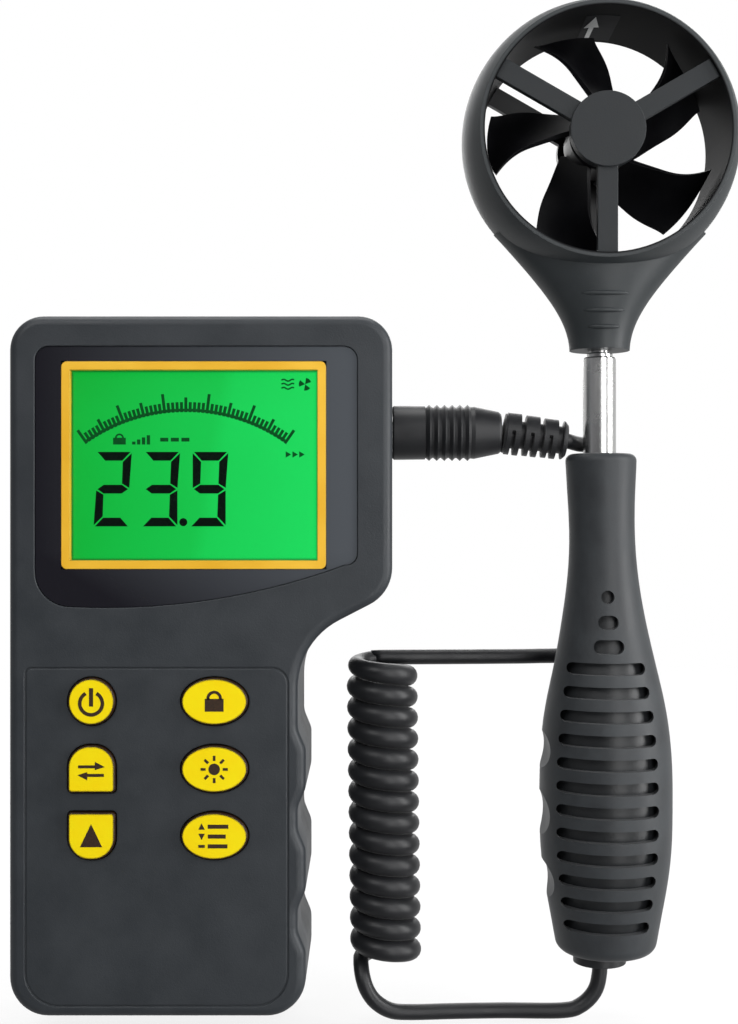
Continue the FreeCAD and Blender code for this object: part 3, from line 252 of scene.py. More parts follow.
def polished_metal(name, colour, rough, stretch=(1.0, 1.0, 0.02)):
    """Plated tube: fine lengthwise polishing lines and faint smudges."""
    shader = Shader(name)
    lines = shader.noise(5000.0, 2.0, 0.5, stretch)
    smudge = shader.noise(120.0, 4.0, 0.6)
    tone = shader.mix(shader.spread(smudge, 0.3, 0.75), colour, scaled(colour, 0.88))
    shader.set(Base_Color=tone, Metallic=1.0, Roughness=shader.spread(smudge, 0.3, 0.8, rough, rough + 0.08))
    shader.set(Normal=shader.bump(lines, 0.03, 0.03 * MM))
    return shader.material


def gloss_bezel():
    """Black acrylic with a painted reflection, lighter towards its right and fading along the bottom, and
    hairline swirls.
    """
    shader = Shader("bezel_acrylic")
    swirl = shader.noise(2200.0, 2.0, 0.5, (1.0, 1.0, 0.08))
    # painted reflection: lighter towards the right, fading along the bottom
    across = shader.spread(shader.axis("X"), FRAME_LOW.x - 6 * MM, FRAME_HIGH.x + 6 * MM)
    low = shader.spread(shader.axis("Z"), FRAME_LOW.z - 10 * MM, FRAME_LOW.z + 4 * MM, 0.3, 0.0)
    tone = shader.mix(shader.math("SUBTRACT", across, low, True), srgb(29, 28, 34), srgb(84, 88, 93))
    shader.set(Base_Color=tone, Roughness=shader.spread(swirl, 0.3, 0.7, 0.07, 0.14), Coat_Weight=0.6)
    shader.set(Coat_Roughness=0.04, Normal=shader.bump(swirl, 0.02, 0.02 * MM))
    return shader.material


def painted_frame():
    """Amber printed frame, darkened along its edges by painted shade."""
    shader = Shader("frame_amber")
    grain = shader.noise(1800.0, 3.0, 0.6)
    cloud = shader.noise(60.0, 2.0, 0.5)
    tone = shader.mix(shader.spread(cloud, 0.3, 0.7), srgb(236, 176, 30), srgb(252, 200, 60))
    edge, rounded = shader.edge_mask(0.3 * MM)
    # painted shade: edges mixed towards a dark brown
    tone = shader.mix(shader.math("MULTIPLY", edge, 0.5), tone, srgb(150, 92, 12))
    shader.set(Base_Color=tone, Roughness=0.38, Normal=shader.bump(grain, 0.12, 0.06 * MM, rounded))
    return shader.material


def clear_window():
    """Thin clear sheet: mostly see-through, with a gloss reflection."""
    shader = Shader("window_clear")
    clear = shader.node("ShaderNodeBsdfTransparent")
    clear.inputs["Color"].default_value = (0.97, 1.0, 0.98, 1.0)
    haze = shader.noise(400.0, 3.0, 0.5)
    gloss = shader.node("ShaderNodeBsdfGlossy", Roughness=shader.spread(haze, 0.3, 0.7, 0.03, 0.07))
    fresnel = shader.node("ShaderNodeFresnel", IOR=1.22)
    facing = shader.math("SUBTRACT", 1.0, shader.node("ShaderNodeNewGeometry").outputs["Backfacing"])
    blend = shader.node("ShaderNodeMixShader")
    shader.join(shader.math("MULTIPLY", fresnel.outputs[0], facing), blend.inputs[0])
    shader.join(clear.outputs[0], blend.inputs[1])
    shader.join(gloss.outputs[0], blend.inputs[2])
    shader.join(blend.outputs[0], shader.output.inputs["Surface"])
    return shader.material


def lit_display():
    """Back-lit green glass, brighter to the right with a soft step across the middle and darker towards the
    top, with painted shadow of the frame along its inner edge.
    """
    shader = Shader("display_lit")
    across = shader.spread(shader.axis("X"), FRAME_LOW.x, FRAME_HIGH.x)
    up = shader.spread(shader.axis("Z"), FRAME_LOW.z, FRAME_HIGH.z)
    cloud = shader.spread(shader.noise(35.0, 2.0, 0.5), 0.3, 0.7, -0.04, 0.04)
    slant = shader.math("ADD", across, shader.math("MULTIPLY", up, -0.14))
    step = shader.spread(slant, 0.47, 0.53, 0.0, 0.16)
    ramp = shader.spread(across, 0.0, 1.0, 0.08, 0.72)
    fall = shader.spread(up, 0.75, 1.0, 0.0, -0.1)
    level = shader.math("ADD", shader.math("ADD", ramp, step), shader.math("ADD", cloud, fall), True)
    tone = shader.mix(level, srgb(4, 172, 48), srgb(22, 226, 100))
    dots = shader.spread(shader.noise(2500.0, 1.0, 0.5), 0.3, 0.7, 0.96, 1.0)
    sides = []
    for letter, middle, half in (("X", LCD_MID.x, LCD_HALF.x), ("Z", LCD_MID.z, LCD_HALF.z)):
        away = shader.math("ABSOLUTE", shader.math("SUBTRACT", shader.axis(letter), middle))
        sides.append(shader.math("SUBTRACT", half, away))
    inset = shader.math("MINIMUM", sides[0], sides[1])
    # painted shadow: the glow dims to 0.12 within 0.6 mm of the frame's inner edge
    beyond_frame_shade = shader.spread(inset, -0.1 * MM, 0.6 * MM, 0.0, 1.0)
    level = shader.math("MULTIPLY", dots, shader.spread(beyond_frame_shade, 0.0, 1.0, 0.12, 1.0))
    shown = shader.math("MULTIPLY", level, shader.math("GREATER_THAN", inset, -0.4 * MM))
    shader.set(Base_Color=srgb(2, 20, 8), Roughness=0.3, Emission_Color=tone, Emission_Strength=shown)
    return shader.material


def display_ink(name, colour, glow):
    """Liquid-crystal segment: near black or deep green, faintly glowing from behind."""
    shader = Shader(name)
    cloud = shader.noise(300.0, 2.0, 0.5)
    tone = shader.mix(shader.spread(cloud, 0.3, 0.7), colour, scaled(colour, 1.25))
    shader.set(Base_Color=tone, Roughness=0.8, Emission_Color=tone, Emission_Strength=glow)
    shader.set(Specular_IOR_Level=0.1)
    return shader.material


def key_cap():
    """Yellow moulded key, its rounded rim and skirt painted dark brown as painted shade of the gap round it.
    """
    shader = Shader("key_yellow")
    bevel = shader.tree.nodes.new("ShaderNodeBevel")
    bevel.samples = 8
    bevel.inputs["Radius"].default_value = 1.1 * MM
    facing = shader.node("ShaderNodeSeparateXYZ", Vector=bevel.outputs[0])
    top = shader.spread(facing.outputs["Y"], -0.93, -0.985)
    cloud = shader.noise(120.0, 3.0, 0.6)
    grain = shader.noise(3000.0, 2.0, 0.5)
    yellow = shader.mix(shader.spread(cloud, 0.3, 0.7), srgb(255, 222, 0), srgb(255, 232, 8))
    # painted shade: rim and skirt, facing away from the front, mixed to dark brown
    tone = shader.mix(top, srgb(38, 20, 6), yellow)
    shader.set(Base_Color=tone, Roughness=0.4, Normal=shader.bump(grain, 0.1, 0.05 * MM))
    shader.set(Specular_IOR_Level=0.25)
    return shader.material


def key_ink():
    """Dark brown print on the keys."""
    shader = Shader("key_print")
    grain = shader.noise(2500.0, 3.0, 0.6)
    tone = shader.mix(shader.spread(grain, 0.35, 0.7), srgb(58, 34, 8), srgb(34, 20, 6))
    shader.set(Base_Color=tone, Roughness=0.5)
    return shader.material


def label_print(name, colour, light, rough=0.45):
    """Plain printed or dyed surface with a faint grain."""
    shader = Shader(name)
    grain = shader.noise(2600.0, 3.0, 0.6)
    tone = shader.mix(shader.spread(grain, 0.35, 0.7), colour, light)
    shader.set(Base_Color=tone, Roughness=rough, Normal=shader.bump(grain, 0.08, 0.05 * MM))
    shader.set(Specular_IOR_Level=0.3)
    return shader.material


def circuit_board():
    """Green solder mask with faint copper tracks under it."""
    shader = Shader("circuit_board")
    tracks = shader.tree.nodes.new("ShaderNodeTexVoronoi")
    tracks.distance = "MANHATTAN"
    tracks.feature = "DISTANCE_TO_EDGE"
    tracks.inputs["Scale"].default_value = 260.0
    shader.join(shader.place, tracks.inputs["Vector"])
    line = shader.spread(tracks.outputs["Distance"], 0.02, 0.05, 1.0, 0.0)
    tone = shader.mix(line, srgb(10, 74, 38), srgb(44, 118, 62))
    shader.set(Base_Color=tone, Roughness=0.3, Normal=shader.bump(line, 0.2, 0.05 * MM), Coat_Weight=0.3)
    return shader.material


def build_materials():
    """Every material, by the short name that LOOKS and the pieces use."""
    case = moulded_plastic("case_plastic", srgb(45, 49, 53), srgb(51, 55, 59), 0.46)
    arms = moulded_plastic("spider_plastic", srgb(26, 30, 33), srgb(32, 36, 39), 0.6, 3000.0, 0.2, 0.3 * MM)
    core = moulded_plastic("core_plastic", srgb(34, 36, 38), srgb(42, 44, 46), 0.4, 3000.0, 0.15, 0.3 * MM)
    dark = moulded_plastic("dark_moulding", srgb(18, 18, 20), srgb(25, 25, 27), 0.42, 3000.0, 0.15, 0.2 * MM)
    grip = soft_rubber("grip_rubber", srgb(43, 46, 49), srgb(52, 56, 59), 0.52)
    cord = soft_rubber("cord_rubber", srgb(17, 18, 21), srgb(25, 26, 29), 0.44, 1200.0, 0.12)
    silicone = soft_rubber("silicone", srgb(80, 80, 84), srgb(92, 92, 96), 0.6)
    chrome = polished_metal("rod_chrome", (0.9, 0.9, 0.89, 1.0), 0.24)
    steel = polished_metal("screw_steel", (0.56, 0.56, 0.57, 1.0), 0.3, (1.0, 1.0, 1.0))
    brass = polished_metal("slider_brass", (0.72, 0.53, 0.24, 1.0), 0.25)
    blade = moulded_plastic("impeller_black", srgb(12, 12, 15), srgb(18, 18, 21), 0.45, 3000.0, 0.08,
                            0.2 * MM, 0.2)
    return {
        "case": case, "head": ring_plastic(), "arms": arms, "core": core, "dark": dark,
        "grip": grip, "cord": cord, "silicone": silicone, "chrome": chrome, "steel": steel,
        "brass": brass, "blade": blade, "bezel": gloss_bezel(), "frame": painted_frame(),
        "window": clear_window(), "display": lit_display(),
        "ink": display_ink("segment_ink", srgb(1, 10, 5), 0.3),
        "ghost": display_ink("scale_ink", srgb(3, 54, 20), 0.8), "key": key_cap(), "key_ink": key_ink(),
        "label": label_print("label_black", srgb(24, 25, 28), srgb(31, 32, 35), 0.8),
        "arrow": label_print("label_white", srgb(205, 207, 206), srgb(228, 229, 228)),
        "board": circuit_board(),
        "guide": label_print("guide_frosted", srgb(190, 220, 200), srgb(205, 232, 214)),
        "battery": label_print("battery_wrap", srgb(92, 96, 104), srgb(112, 116, 122)),
        "lead": label_print("lead_red", srgb(150, 22, 20), srgb(170, 30, 26)),
    }


LOOKS = {
    "front_case": "case", "rear_case": "case", "battery_door": "case", "display_bezel": "bezel",
    "lcd_frame": "frame", "display_window": "window", "lcd_panel": "display", "light_guide": "guide",
    "display_contact_strip": "silicone", "power_button": "key", "unit_button": "key", "up_button": "key",
    "hold_button": "key", "light_button": "key", "memory_button": "key", "keypad_mat": "silicone",
    "main_board": "board", "board_chips": "dark", "case_screws": "steel", "board_screws": "steel",
    "battery": "battery", "battery_snap": "dark", "battery_leads": "lead", "jack_socket": "dark",
    "plug_barrel": "chrome", "plug_pins": "chrome", "plug_body": "cord", "plug_strain_relief": "cord",
    "coiled_cord": "cord", "grip_sleeve": "grip", "handle_core": "core", "handle_end_cap": "core",
    "base_tube": "chrome", "middle_tube": "chrome", "middle_slider": "brass", "top_tube": "chrome",
    "top_slider": "brass", "head_housing": "head", "front_spider": "arms", "rear_spider": "dark",
    "front_bearing": "brass", "rear_bearing": "brass", "impeller_axle": "steel", "impeller": "blade",
    "speed_sensor": "dark", "sensor_board": "board",
}


def dress_cad_nodes(materials):
    """Give every CAD node its material."""
    for node, look in LOOKS.items():
        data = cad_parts[node].data
        data.materials.clear()
        data.materials.append(materials[look])


# ---------------------------------------------------------------- mesh helpers

def add_piece(name, mesh, material, body, smooth=True):
    """Finish a bmesh as a named piece that rides on a body and carries the given material."""
    bmesh.ops.recalc_face_normals(mesh, faces=mesh.faces)
    data = bpy.data.meshes.new(name)
    mesh.to_mesh(data)
    mesh.free()
    for face in data.polygons:
        face.use_smooth = smooth
    data.materials.append(material)
    piece = bpy.data.objects.new(name, data)
    bpy.context.scene.collection.objects.link(piece)
    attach(piece, body)
    return piece


def plates(outlines, front, depth):
    """Thin plates parallel to the display face, from closed (x, z) outlines."""
    mesh = bmesh.new()
    for outline in outlines:
        fore = [mesh.verts.new((x, front, z)) for x, z in outline]
        back = [mesh.verts.new((x, front + depth, z)) for x, z in outline]
        mesh.faces.new(fore)
        mesh.faces.new(list(reversed(back)))
        for number in range(len(outline)):
            after = (number + 1) % len(outline)
            mesh.faces.new((fore[number], back[number], back[after], fore[after]))
    return mesh


def band(points, width):
    """Outline of a stroke of constant width along a row of (x, z) points."""
    left, right = [], []
    for number, (x, z) in enumerate(points):
        before = points[max(number - 1, 0)]
        after = points[min(number + 1, len(points) - 1)]
        along = Vector((after[0] - before[0], after[1] - before[1])).normalized()
        side = Vector((-along.y, along.x)) * width / 2
        left.append((x + side.x, z + side.y))
        right.append((x - side.x, z - side.y))
    return left + right[::-1]


def arc(x, z, radius, start, end, steps=24):
    """Points on a circle arc; angles in degrees, anticlockwise from +X."""
    points = []
    for number in range(steps + 1):
        angle = math.radians(start + (end - start) * number / steps)
        points.append((x + radius * math.cos(angle), z + radius * math.sin(angle)))
    return points


def disc(x, z, radius, steps=28):
    """Outline of a full circle."""
    return arc(x, z, radius, 0, 360, steps)[:-1]


def bar(x, z, width, height):
    """Outline of a rectangle about its centre."""
    return [(x - width / 2, z - height / 2), (x + width / 2, z - height / 2),
            (x + width / 2, z + height / 2), (x - width / 2, z + height / 2)]


def smooth_path(points, spacing):
    """Points of a Catmull-Rom curve through (position, radius) stations, about evenly spaced."""
    result = []
    for number in range(len(points) - 1):
        near = [points[max(number - 1, 0)], points[number], points[number + 1],
                points[min(number + 2, len(points) - 1)]]
        spans = max(1, int((near[2][0] - near[1][0]).length / spacing))
        for step in range(spans):
            t = step / spans
            weights = (-0.5 * t + t * t - 0.5 * t ** 3, 1 - 2.5 * t * t + 1.5 * t ** 3,
                       0.5 * t + 2 * t * t - 1.5 * t ** 3, -0.5 * t * t + 0.5 * t ** 3)
            place = sum((item[0] * w for item, w in zip(near, weights)), Vector())
            result.append((place, near[1][1] + (near[2][1] - near[1][1]) * t))
    result.append(points[-1])
    return result


def skin_rings(mesh, rings):
    """Join rings of vertices into a closed skin with flat ends."""
    sides = len(rings[0])
    for first, second in zip(rings, rings[1:]):
        for step in range(sides):
            after = (step + 1) % sides
            mesh.faces.new((first[step], first[after], second[after], second[step]))
    mesh.faces.new(list(reversed(rings[0])))
    mesh.faces.new(rings[-1])


def tube(stations, sides):
    """A closed round tube along (position, radius) stations."""
    mesh = bmesh.new()
    places = [item[0] for item in stations]
    turn = Vector((0, 0, 1))
    rings = []
    for number, (place, radius) in enumerate(stations):
        before = places[max(number - 1, 0)]
        after = places[min(number + 1, len(places) - 1)]
        along = (after - before).normalized()
        turn = turn - along * turn.dot(along)
        if turn.length < 1e-6:
            turn = along.orthogonal()
        turn.normalize()
        side = along.cross(turn)
        ring = []
        for step in range(sides):
            angle = 2 * math.pi * step / sides
            ring.append(mesh.verts.new(place + (turn * math.cos(angle) + side * math.sin(angle)) * radius))
        rings.append(ring)
    skin_rings(mesh, rings)
    return mesh


# ---------------------------------------------------------------- display graphics

DIGIT_HEIGHT = 17.6 * MM
DIGIT_WIDTH = 8.4 * MM
STROKE = 2.05 * MM
DIGIT_GAP = 0.3 * MM
DIGIT_SLANT = 0.036
DIGIT_PITCH = 11.4 * MM
SEGMENTS = {"2": "abged", "3": "abgcd", "9": "abcdfg"}
DIGITS_LEFT = LCD_MID.x - 23.9 * MM
DIGITS_LOW = LCD_MID.z - 14.4 * MM
POINT_RADIUS = 0.95 * MM
INK_FRONT = LCD_FRONT - 0.04 * MM
INK_DEPTH = 0.03 * MM


def add_ink(name, outlines, material, front=INK_FRONT):
    """Thin printed shapes lying on the display glass."""
    add_piece(name, plates(outlines, front, INK_DEPTH), material, "meter", False)


def segment_outlines(width, height, stroke, gap):
    """The seven mitred segments of a digit, its lower left corner at the origin."""
    half, point = height / 2, stroke / 2
    return {
        "a": [(gap, height), (width - gap, height), (width - stroke - gap * 0.4, height - stroke),
              (stroke + gap * 0.4, height - stroke)],
        "d": [(gap, 0), (stroke + gap * 0.4, stroke), (width - stroke - gap * 0.4, stroke), (width - gap, 0)],
        "g": [(gap * 2, half), (stroke, half + point), (width - stroke, half + point),
              (width - gap * 2, half), (width - stroke, half - point), (stroke, half - point)],
        "f": [(0, height - gap), (stroke, height - stroke - gap), (stroke, half + point + gap),
              (gap, half + gap)],
        "b": [(width, height - gap), (width - gap, half + gap), (width - stroke, half + point + gap),
              (width - stroke, height - stroke - gap)],
        "e": [(0, gap), (gap, half - gap), (stroke, half - point - gap), (stroke, stroke + gap)],
        "c": [(width, gap), (width - stroke, stroke + gap), (width - stroke, half - point - gap),
              (width - gap, half - gap)],
    }


def make_digits(materials):
    """The reading, in slanted seven-segment figures."""
    base = Vector((DIGITS_LEFT, DIGITS_LOW))
    shapes = segment_outlines(DIGIT_WIDTH, DIGIT_HEIGHT, STROKE, DIGIT_GAP)
    outlines = []
    for place, digit in enumerate("239"):
        for letter in SEGMENTS[digit]:
            outlines.append([(base.x + place * DIGIT_PITCH + x + z * DIGIT_SLANT, base.y + z)
                             for x, z in shapes[letter]])
    outlines.append(disc(base.x + 2 * DIGIT_PITCH - 1.6 * MM, base.y + 1.0 * MM, POINT_RADIUS))
    add_ink("display_digits", outlines, materials["ink"])


SCALE_X = LCD_MID.x - 2.1 * MM
SCALE_Z = LCD_MID.z - 28.2 * MM
SCALE_RADIUS = 40.8 * MM
SCALE_HALF_ANGLE = 35.0
SCALE_STEPS = 50
SCALE_LINE = 0.7 * MM
TICK = 2.4 * MM
END_TICK = 3.8 * MM
FIFTH_TICK = 3.5 * MM
TENTH_TICK = 4.6 * MM


def tick_length(number):
    """Every fifth tick is long, every tenth longest; the two end ticks have their own length."""
    if number in (0, SCALE_STEPS):
        return END_TICK
    if number % 10 == 0:
        return TENTH_TICK
    return FIFTH_TICK if number % 5 == 0 else TICK


def make_scale(materials):
    """The curved scale: a row of close ticks standing on a line."""
    outlines = []
    for number in range(SCALE_STEPS + 1):
        angle = math.radians(90 + SCALE_HALF_ANGLE - 2 * SCALE_HALF_ANGLE * number / SCALE_STEPS)
        aim = Vector((math.cos(angle), math.sin(angle)))
        start = Vector((SCALE_X, SCALE_Z)) + aim * SCALE_RADIUS
        end = start + aim * tick_length(number)
        outlines.append(band([(start.x, start.y), (end.x, end.y)], SCALE_LINE))
    add_ink("display_scale", outlines, materials["ghost"])
    curve = arc(SCALE_X, SCALE_Z, SCALE_RADIUS + 0.5 * MM, 90 + SCALE_HALF_ANGLE, 90 - SCALE_HALF_ANGLE, 40)
    add_ink("display_scale_line", [band(curve, SCALE_LINE)], materials["ghost"], INK_FRONT + 0.01 * MM)


def vane_icon(x, z):
    """Three blades."""
    return [arc(x, z, 1.5 * MM, angle, angle + 62, 8) + [(x, z)] for angle in (20, 140, 260)]


def air_icon(x, z):
    """Three wavy lines."""
    outlines = []
    for number in range(3):
        low = z - (number - 1) * 0.95 * MM
        wave = [(x + step * 0.3 * MM, low + 0.22 * MM * math.sin(step * 0.9)) for step in range(11)]
        outlines.append(band(wave, 0.36 * MM))
    return outlines


def lock_icon(x, z):
    """A small padlock."""
    return [bar(x, z - 0.45 * MM, 3.0 * MM, 1.6 * MM),
            band(arc(x, z + 0.3 * MM, 0.85 * MM, 0, 180, 12), 0.42 * MM)]


def level_icon(x, z):
    """Four bars, each taller than the one before."""
    return [bar(x + (3.4 + number * 1.15) * MM, z - (0.9 - number * 0.25) * MM, 0.8 * MM,
                (0.7 + number * 0.5) * MM) for number in range(4)]


def dash_icon(x, z):
    """Three dashes in a row."""
    return [bar(x + (10.6 + number * 2.5) * MM, z - 0.1 * MM, 1.9 * MM, 0.9 * MM) for number in range(3)]


def flow_icon(x, z):
    """Three arrow heads in a row."""
    outlines = []
    for number in range(3):
        start = x - 2.2 * MM + number * 1.6 * MM
        outlines.append([(start, z - 0.75 * MM), (start + 1.3 * MM, z), (start, z + 0.75 * MM)])
    return outlines


def make_display_icons(materials):
    """Small generic symbols in the display's upper right corner, over the figures and beside them."""
    corner_x, corner_z = LCD_MID.x + 26.1 * MM, LCD_MID.z + 19.2 * MM
    status_x, status_z = LCD_MID.x - 17.8 * MM, LCD_MID.z + 6.2 * MM
    outlines = vane_icon(corner_x, corner_z) + air_icon(corner_x - 5.6 * MM, corner_z)
    outlines += lock_icon(status_x, status_z) + level_icon(status_x, status_z) + dash_icon(status_x, status_z)
    outlines += flow_icon(LCD_MID.x + 23.7 * MM, LCD_MID.z + 2.6 * MM)
    add_ink("display_icons", outlines, materials["ghost"])


# ---------------------------------------------------------------- key symbols

def power_symbol():
    """A broken ring with an upright stroke."""
    return [band(arc(0, -0.4, 2.65, 118, 422, 36), 0.85), bar(0, 1.05, 0.95, 4.3)]


def up_symbol():
    """A triangle pointing up."""
    return [[(-2.6, -2.7), (2.6, -2.7), (0, 2.7)]]


def unit_symbol():
    """Two opposed arrows, for changing between units."""
    right = [(-3.0, 1.35), (0.9, 1.35), (0.9, 2.15), (3.2, 0.95), (0.9, 0.25), (0.9, 0.65), (-3.0, 0.65)]
    return [right, [(-x, -z) for x, z in right]]


def hold_symbol():
    """A padlock."""
    return [bar(0, -1.0, 4.4, 3.0), band(arc(0, 0.6, 1.45, 0, 180, 18), 0.7), bar(-1.45, 0.5, 0.7, 0.4),
            bar(1.45, 0.5, 0.7, 0.4)]


def light_symbol():
    """A sun."""
    marks = [disc(0, 0, 1.35)]
    for number in range(8):
        angle = math.radians(45 * number)
        aim = (math.cos(angle), math.sin(angle))
        marks.append(band([(aim[0] * 2.0, aim[1] * 2.0), (aim[0] * 3.2, aim[1] * 3.2)], 0.62))
    return marks


def memory_symbol():
    """Three stacked rows: highest, lowest and mean."""
    high = [[(-3.7, 1.6), (-2.2, 1.6), (-2.95, 3.1)], bar(0.9, 2.3, 4.8, 0.95)]
    low = [[(-3.7, 0.65), (-2.95, -0.85), (-2.2, 0.65)], bar(0.6, 0.0, 4.2, 0.95)]
    mean = [bar(-2.95, -2.3, 1.5, 0.7), bar(0.8, -2.3, 4.6, 0.95)]
    return high + low + mean


SYMBOLS = {
    "power_button": ("power_key", power_symbol, 0.0), "unit_button": ("unit_key", unit_symbol, -0.4),
    "up_button": ("up_key", up_symbol, 0.2), "hold_button": ("hold_key", hold_symbol, 0.2),
    "light_button": ("light_key", light_symbol, 0.0), "memory_button": ("memory_key", memory_symbol, 0.0),
}


def make_key_symbols(materials):
    """The printed mark on each key, drawn in mm about the key's middle."""
    for node, (body, symbol, lift) in SYMBOLS.items():
        low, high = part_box(node)
        x, z = (low.x + high.x) / 2, (low.z + high.z) / 2 + lift * MM
        outlines = [[(x + across * MM, z + up * MM) for across, up in outline] for outline in symbol()]
        mesh = plates(outlines, low.y - 0.04 * MM, 0.06 * MM)
        add_piece(node.replace("button", "symbol"), mesh, materials["key_ink"], body, False)


# ---------------------------------------------------------------- cord and strain relief

CORD_THIN = 1.9 * MM
CORD_THICK = 2.6 * MM
COIL_RADIUS = 6.2 * MM
COIL_PITCH = 5.2 * MM
COIL_TURNS = 14.25
COIL_STEPS = 24
COIL_TOP = 82.2 * MM
COIL_LEAN = 1.0 * MM
END_BEND = 9.4 * MM
CORD_SIDES = 18
RELIEF_DROOP = math.radians(7.0)
RELIEF_SIDES = 48
RIB_COUNT = 3
RIB_PITCH = 4.6  # this and the next two in mm, as relief_rings is
SLOT_RADIUS = 3.6
GAP_RADIUS = 3.4


def relief_place(reach):
    """A place on the strain relief's drooping axis, reach mm out from the plug."""
    start = PLUG_END + 0.3 * MM
    return Vector((start + reach * MM * math.cos(RELIEF_DROOP), 0,
                   PLUG_Z - reach * MM * math.sin(RELIEF_DROOP)))


def thin(places):
    """Cord stations of the plain thickness."""
    return [(Vector(place), CORD_THIN) for place in places]


def lead_stations():
    """The cord inside the strain relief, then behind the rod and the grip, and across to the coil."""
    inside = [relief_place(reach) for reach in (8.0, 12.0, 14.4, 16.1)]
    behind = ((-4.9, 4.3, 135.9), (-1.2, 8.6, 135.4), (1.6, 11.3, 132.4), (2.4, 12.6, 123.0),
              (1.6, 12.4, 112.0), (1.2, 13.2, 101.0), (0.8, 15.0, 92.0), (-1.5, 16.2, 84.8),
              (-6.5, 15.9, 82.0), (-14.0, 14.4, 81.7), (-28.0, 10.8, 81.9))
    return thin(inside + [(PROBE_X + across * MM, deep * MM, up * MM) for across, deep, up in behind])


def coil_stations(coil_x):
    """The coil from top to bottom, growing out of the plain cord and back into it."""
    total = int(COIL_TURNS * COIL_STEPS)
    stations = []
    for number in range(total + 1):
        angle = math.pi / 2 + 2 * math.pi * number / COIL_STEPS
        grow = min(1.0, number / (COIL_STEPS * 0.6), (total - number) / (COIL_STEPS * 0.3))
        lean = COIL_LEAN * number / total
        place = Vector((coil_x + lean - 0.5 * MM + COIL_RADIUS * math.cos(angle),
                        COIL_RADIUS * math.sin(angle), COIL_TOP - COIL_PITCH * number / COIL_STEPS))
        stations.append((place, CORD_THIN + (CORD_THICK - CORD_THIN) * grow))
    return stations


def tail_stations(left, low):
    """The cord from the coil's foot, along its lowest stretch and round the bend into the grip's end."""
    foot = ((0.1, -2.5, 7.1), (0.5, -4.4, 5.0), (1.5, -5.2, 2.2), (3.6, -5.0, -0.8), (7.2, -4.2, -3.2))
    places = [(left + across * MM, deep * MM, up * MM) for across, deep, up in foot]
    places += [(left + across * MM, deep * MM, low + up * MM)
               for across, deep, up in ((12, -3.0, 0.6), (24, -1.2, 0.25))]
    bend_x = PROBE_X - END_BEND
    places += [(bend_x - 14 * MM, 0, low), (bend_x, 0, low)]
    for angle in (30, 60, 90):
        turn = math.radians(angle)
        places.append((bend_x + END_BEND * math.sin(turn), 0, low + END_BEND * (1 - math.cos(turn))))
    places.append((PROBE_X, 0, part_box("handle_end_cap")[0].z + 3.5 * MM))
    return thin(places)


def cord_stations():
    """Centre line and radius of the cord, from the plug round the grip, down the coil, to the grip's end."""
    cord_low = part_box("coiled_cord")[0]
    coil_x = cord_low.x + 8.0 * MM
    left = coil_x - COIL_RADIUS + 0.5 * MM
    return lead_stations() + coil_stations(coil_x) + tail_stations(left, cord_low.z + 2.1 * MM)


def make_cord(materials):
    """The whole cord as one round tube, in place of the CAD cord."""
    mesh = tube(smooth_path(cord_stations(), 0.8 * MM), CORD_SIDES)
    piece = add_piece("cord_surface", mesh, materials["cord"], "probe")
    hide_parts("coiled_cord")


def relief_rings():
    """In mm along the strain relief: distance, radius, and radius where the lower half is slotted."""
    rings = [(0.05, 2.3, 2.3), (0.42, 4.85, 4.85), (0.9, 4.9, 4.9)]
    for number in range(RIB_COUNT):
        start, rib = 1.0 + number * RIB_PITCH, 5.2 - 0.15 * number
        steps = ((0.0, rib), (1.1, rib), (1.2, SLOT_RADIUS), (2.0, SLOT_RADIUS), (2.1, rib), (3.3, rib))
        rings += [(start + reach, rib, slotted) for reach, slotted in steps]
        rings += [(start + reach, GAP_RADIUS, GAP_RADIUS) for reach in (3.4, 4.5)]
    return rings + [(15.0, 4.75, 4.75), (15.3, 4.75, 4.75), (16.1, 3.9, 3.9), (16.1, 2.0, 2.0)]


def make_relief(materials):
    """Strain relief: ribs parted by deep gaps, each rib slotted again through its lower half."""
    up, across = Vector((math.sin(RELIEF_DROOP), 0, math.cos(RELIEF_DROOP))), Vector((0, 1, 0))
    mesh = bmesh.new()
    rings = []
    for reach, full, slotted in relief_rings():
        middle = relief_place(reach)
        ring = []
        for step in range(RELIEF_SIDES):
            angle = 2 * math.pi * step / RELIEF_SIDES
            radius = slotted if math.sin(angle) < 0.1 else full
            aim = up * math.sin(angle) + across * math.cos(angle)
            ring.append(mesh.verts.new(middle + aim * radius * MM))
        rings.append(ring)
    skin_rings(mesh, rings)
    piece = add_piece("relief_surface", mesh, materials["cord"], "probe", False)
    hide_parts("plug_strain_relief")


# ---------------------------------------------------------------- vane head details

NECK_RIDGES = ((38.6, 5.7), (42.6, 4.9), (46.5, 3.9))  # drop below the ring's centre and half width, in mm
RIDGE_RADIUS = 0.62 * MM
RIDGE_STEPS = 16
SHEET = 0.06  # thickness in mm
LABEL_STEPS = 8
ARROW_ANGLE = 93.3


def skin_depth(node, x, z):
    """Depth of a node's front surface behind a place on the display side, or None where it has none."""
    hit, place, _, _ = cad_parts[node].ray_cast(Vector((x, -0.1, z)), Vector((0, 1, 0)))
    return place.y if hit else None


def make_neck_ridges(materials):
    """Short raised bars across the front of the neck, each narrower than the one above."""
    for number, (drop, half) in enumerate(NECK_RIDGES):
        z = HEAD.z - drop * MM
        stations = []
        for step in range(RIDGE_STEPS + 1):
            across = -half + 2 * half * step / RIDGE_STEPS
            deep = skin_depth("head_housing", PROBE_X + across * MM, z)
            fade = math.sqrt(max(0.05, 1 - (across / half) ** 2))
            stations.append((Vector((PROBE_X + across * MM, deep + 0.12 * MM, z)), RIDGE_RADIUS * fade))
        add_piece(f"neck_ridge_{number}", tube(stations, 12), materials["head"], "head")


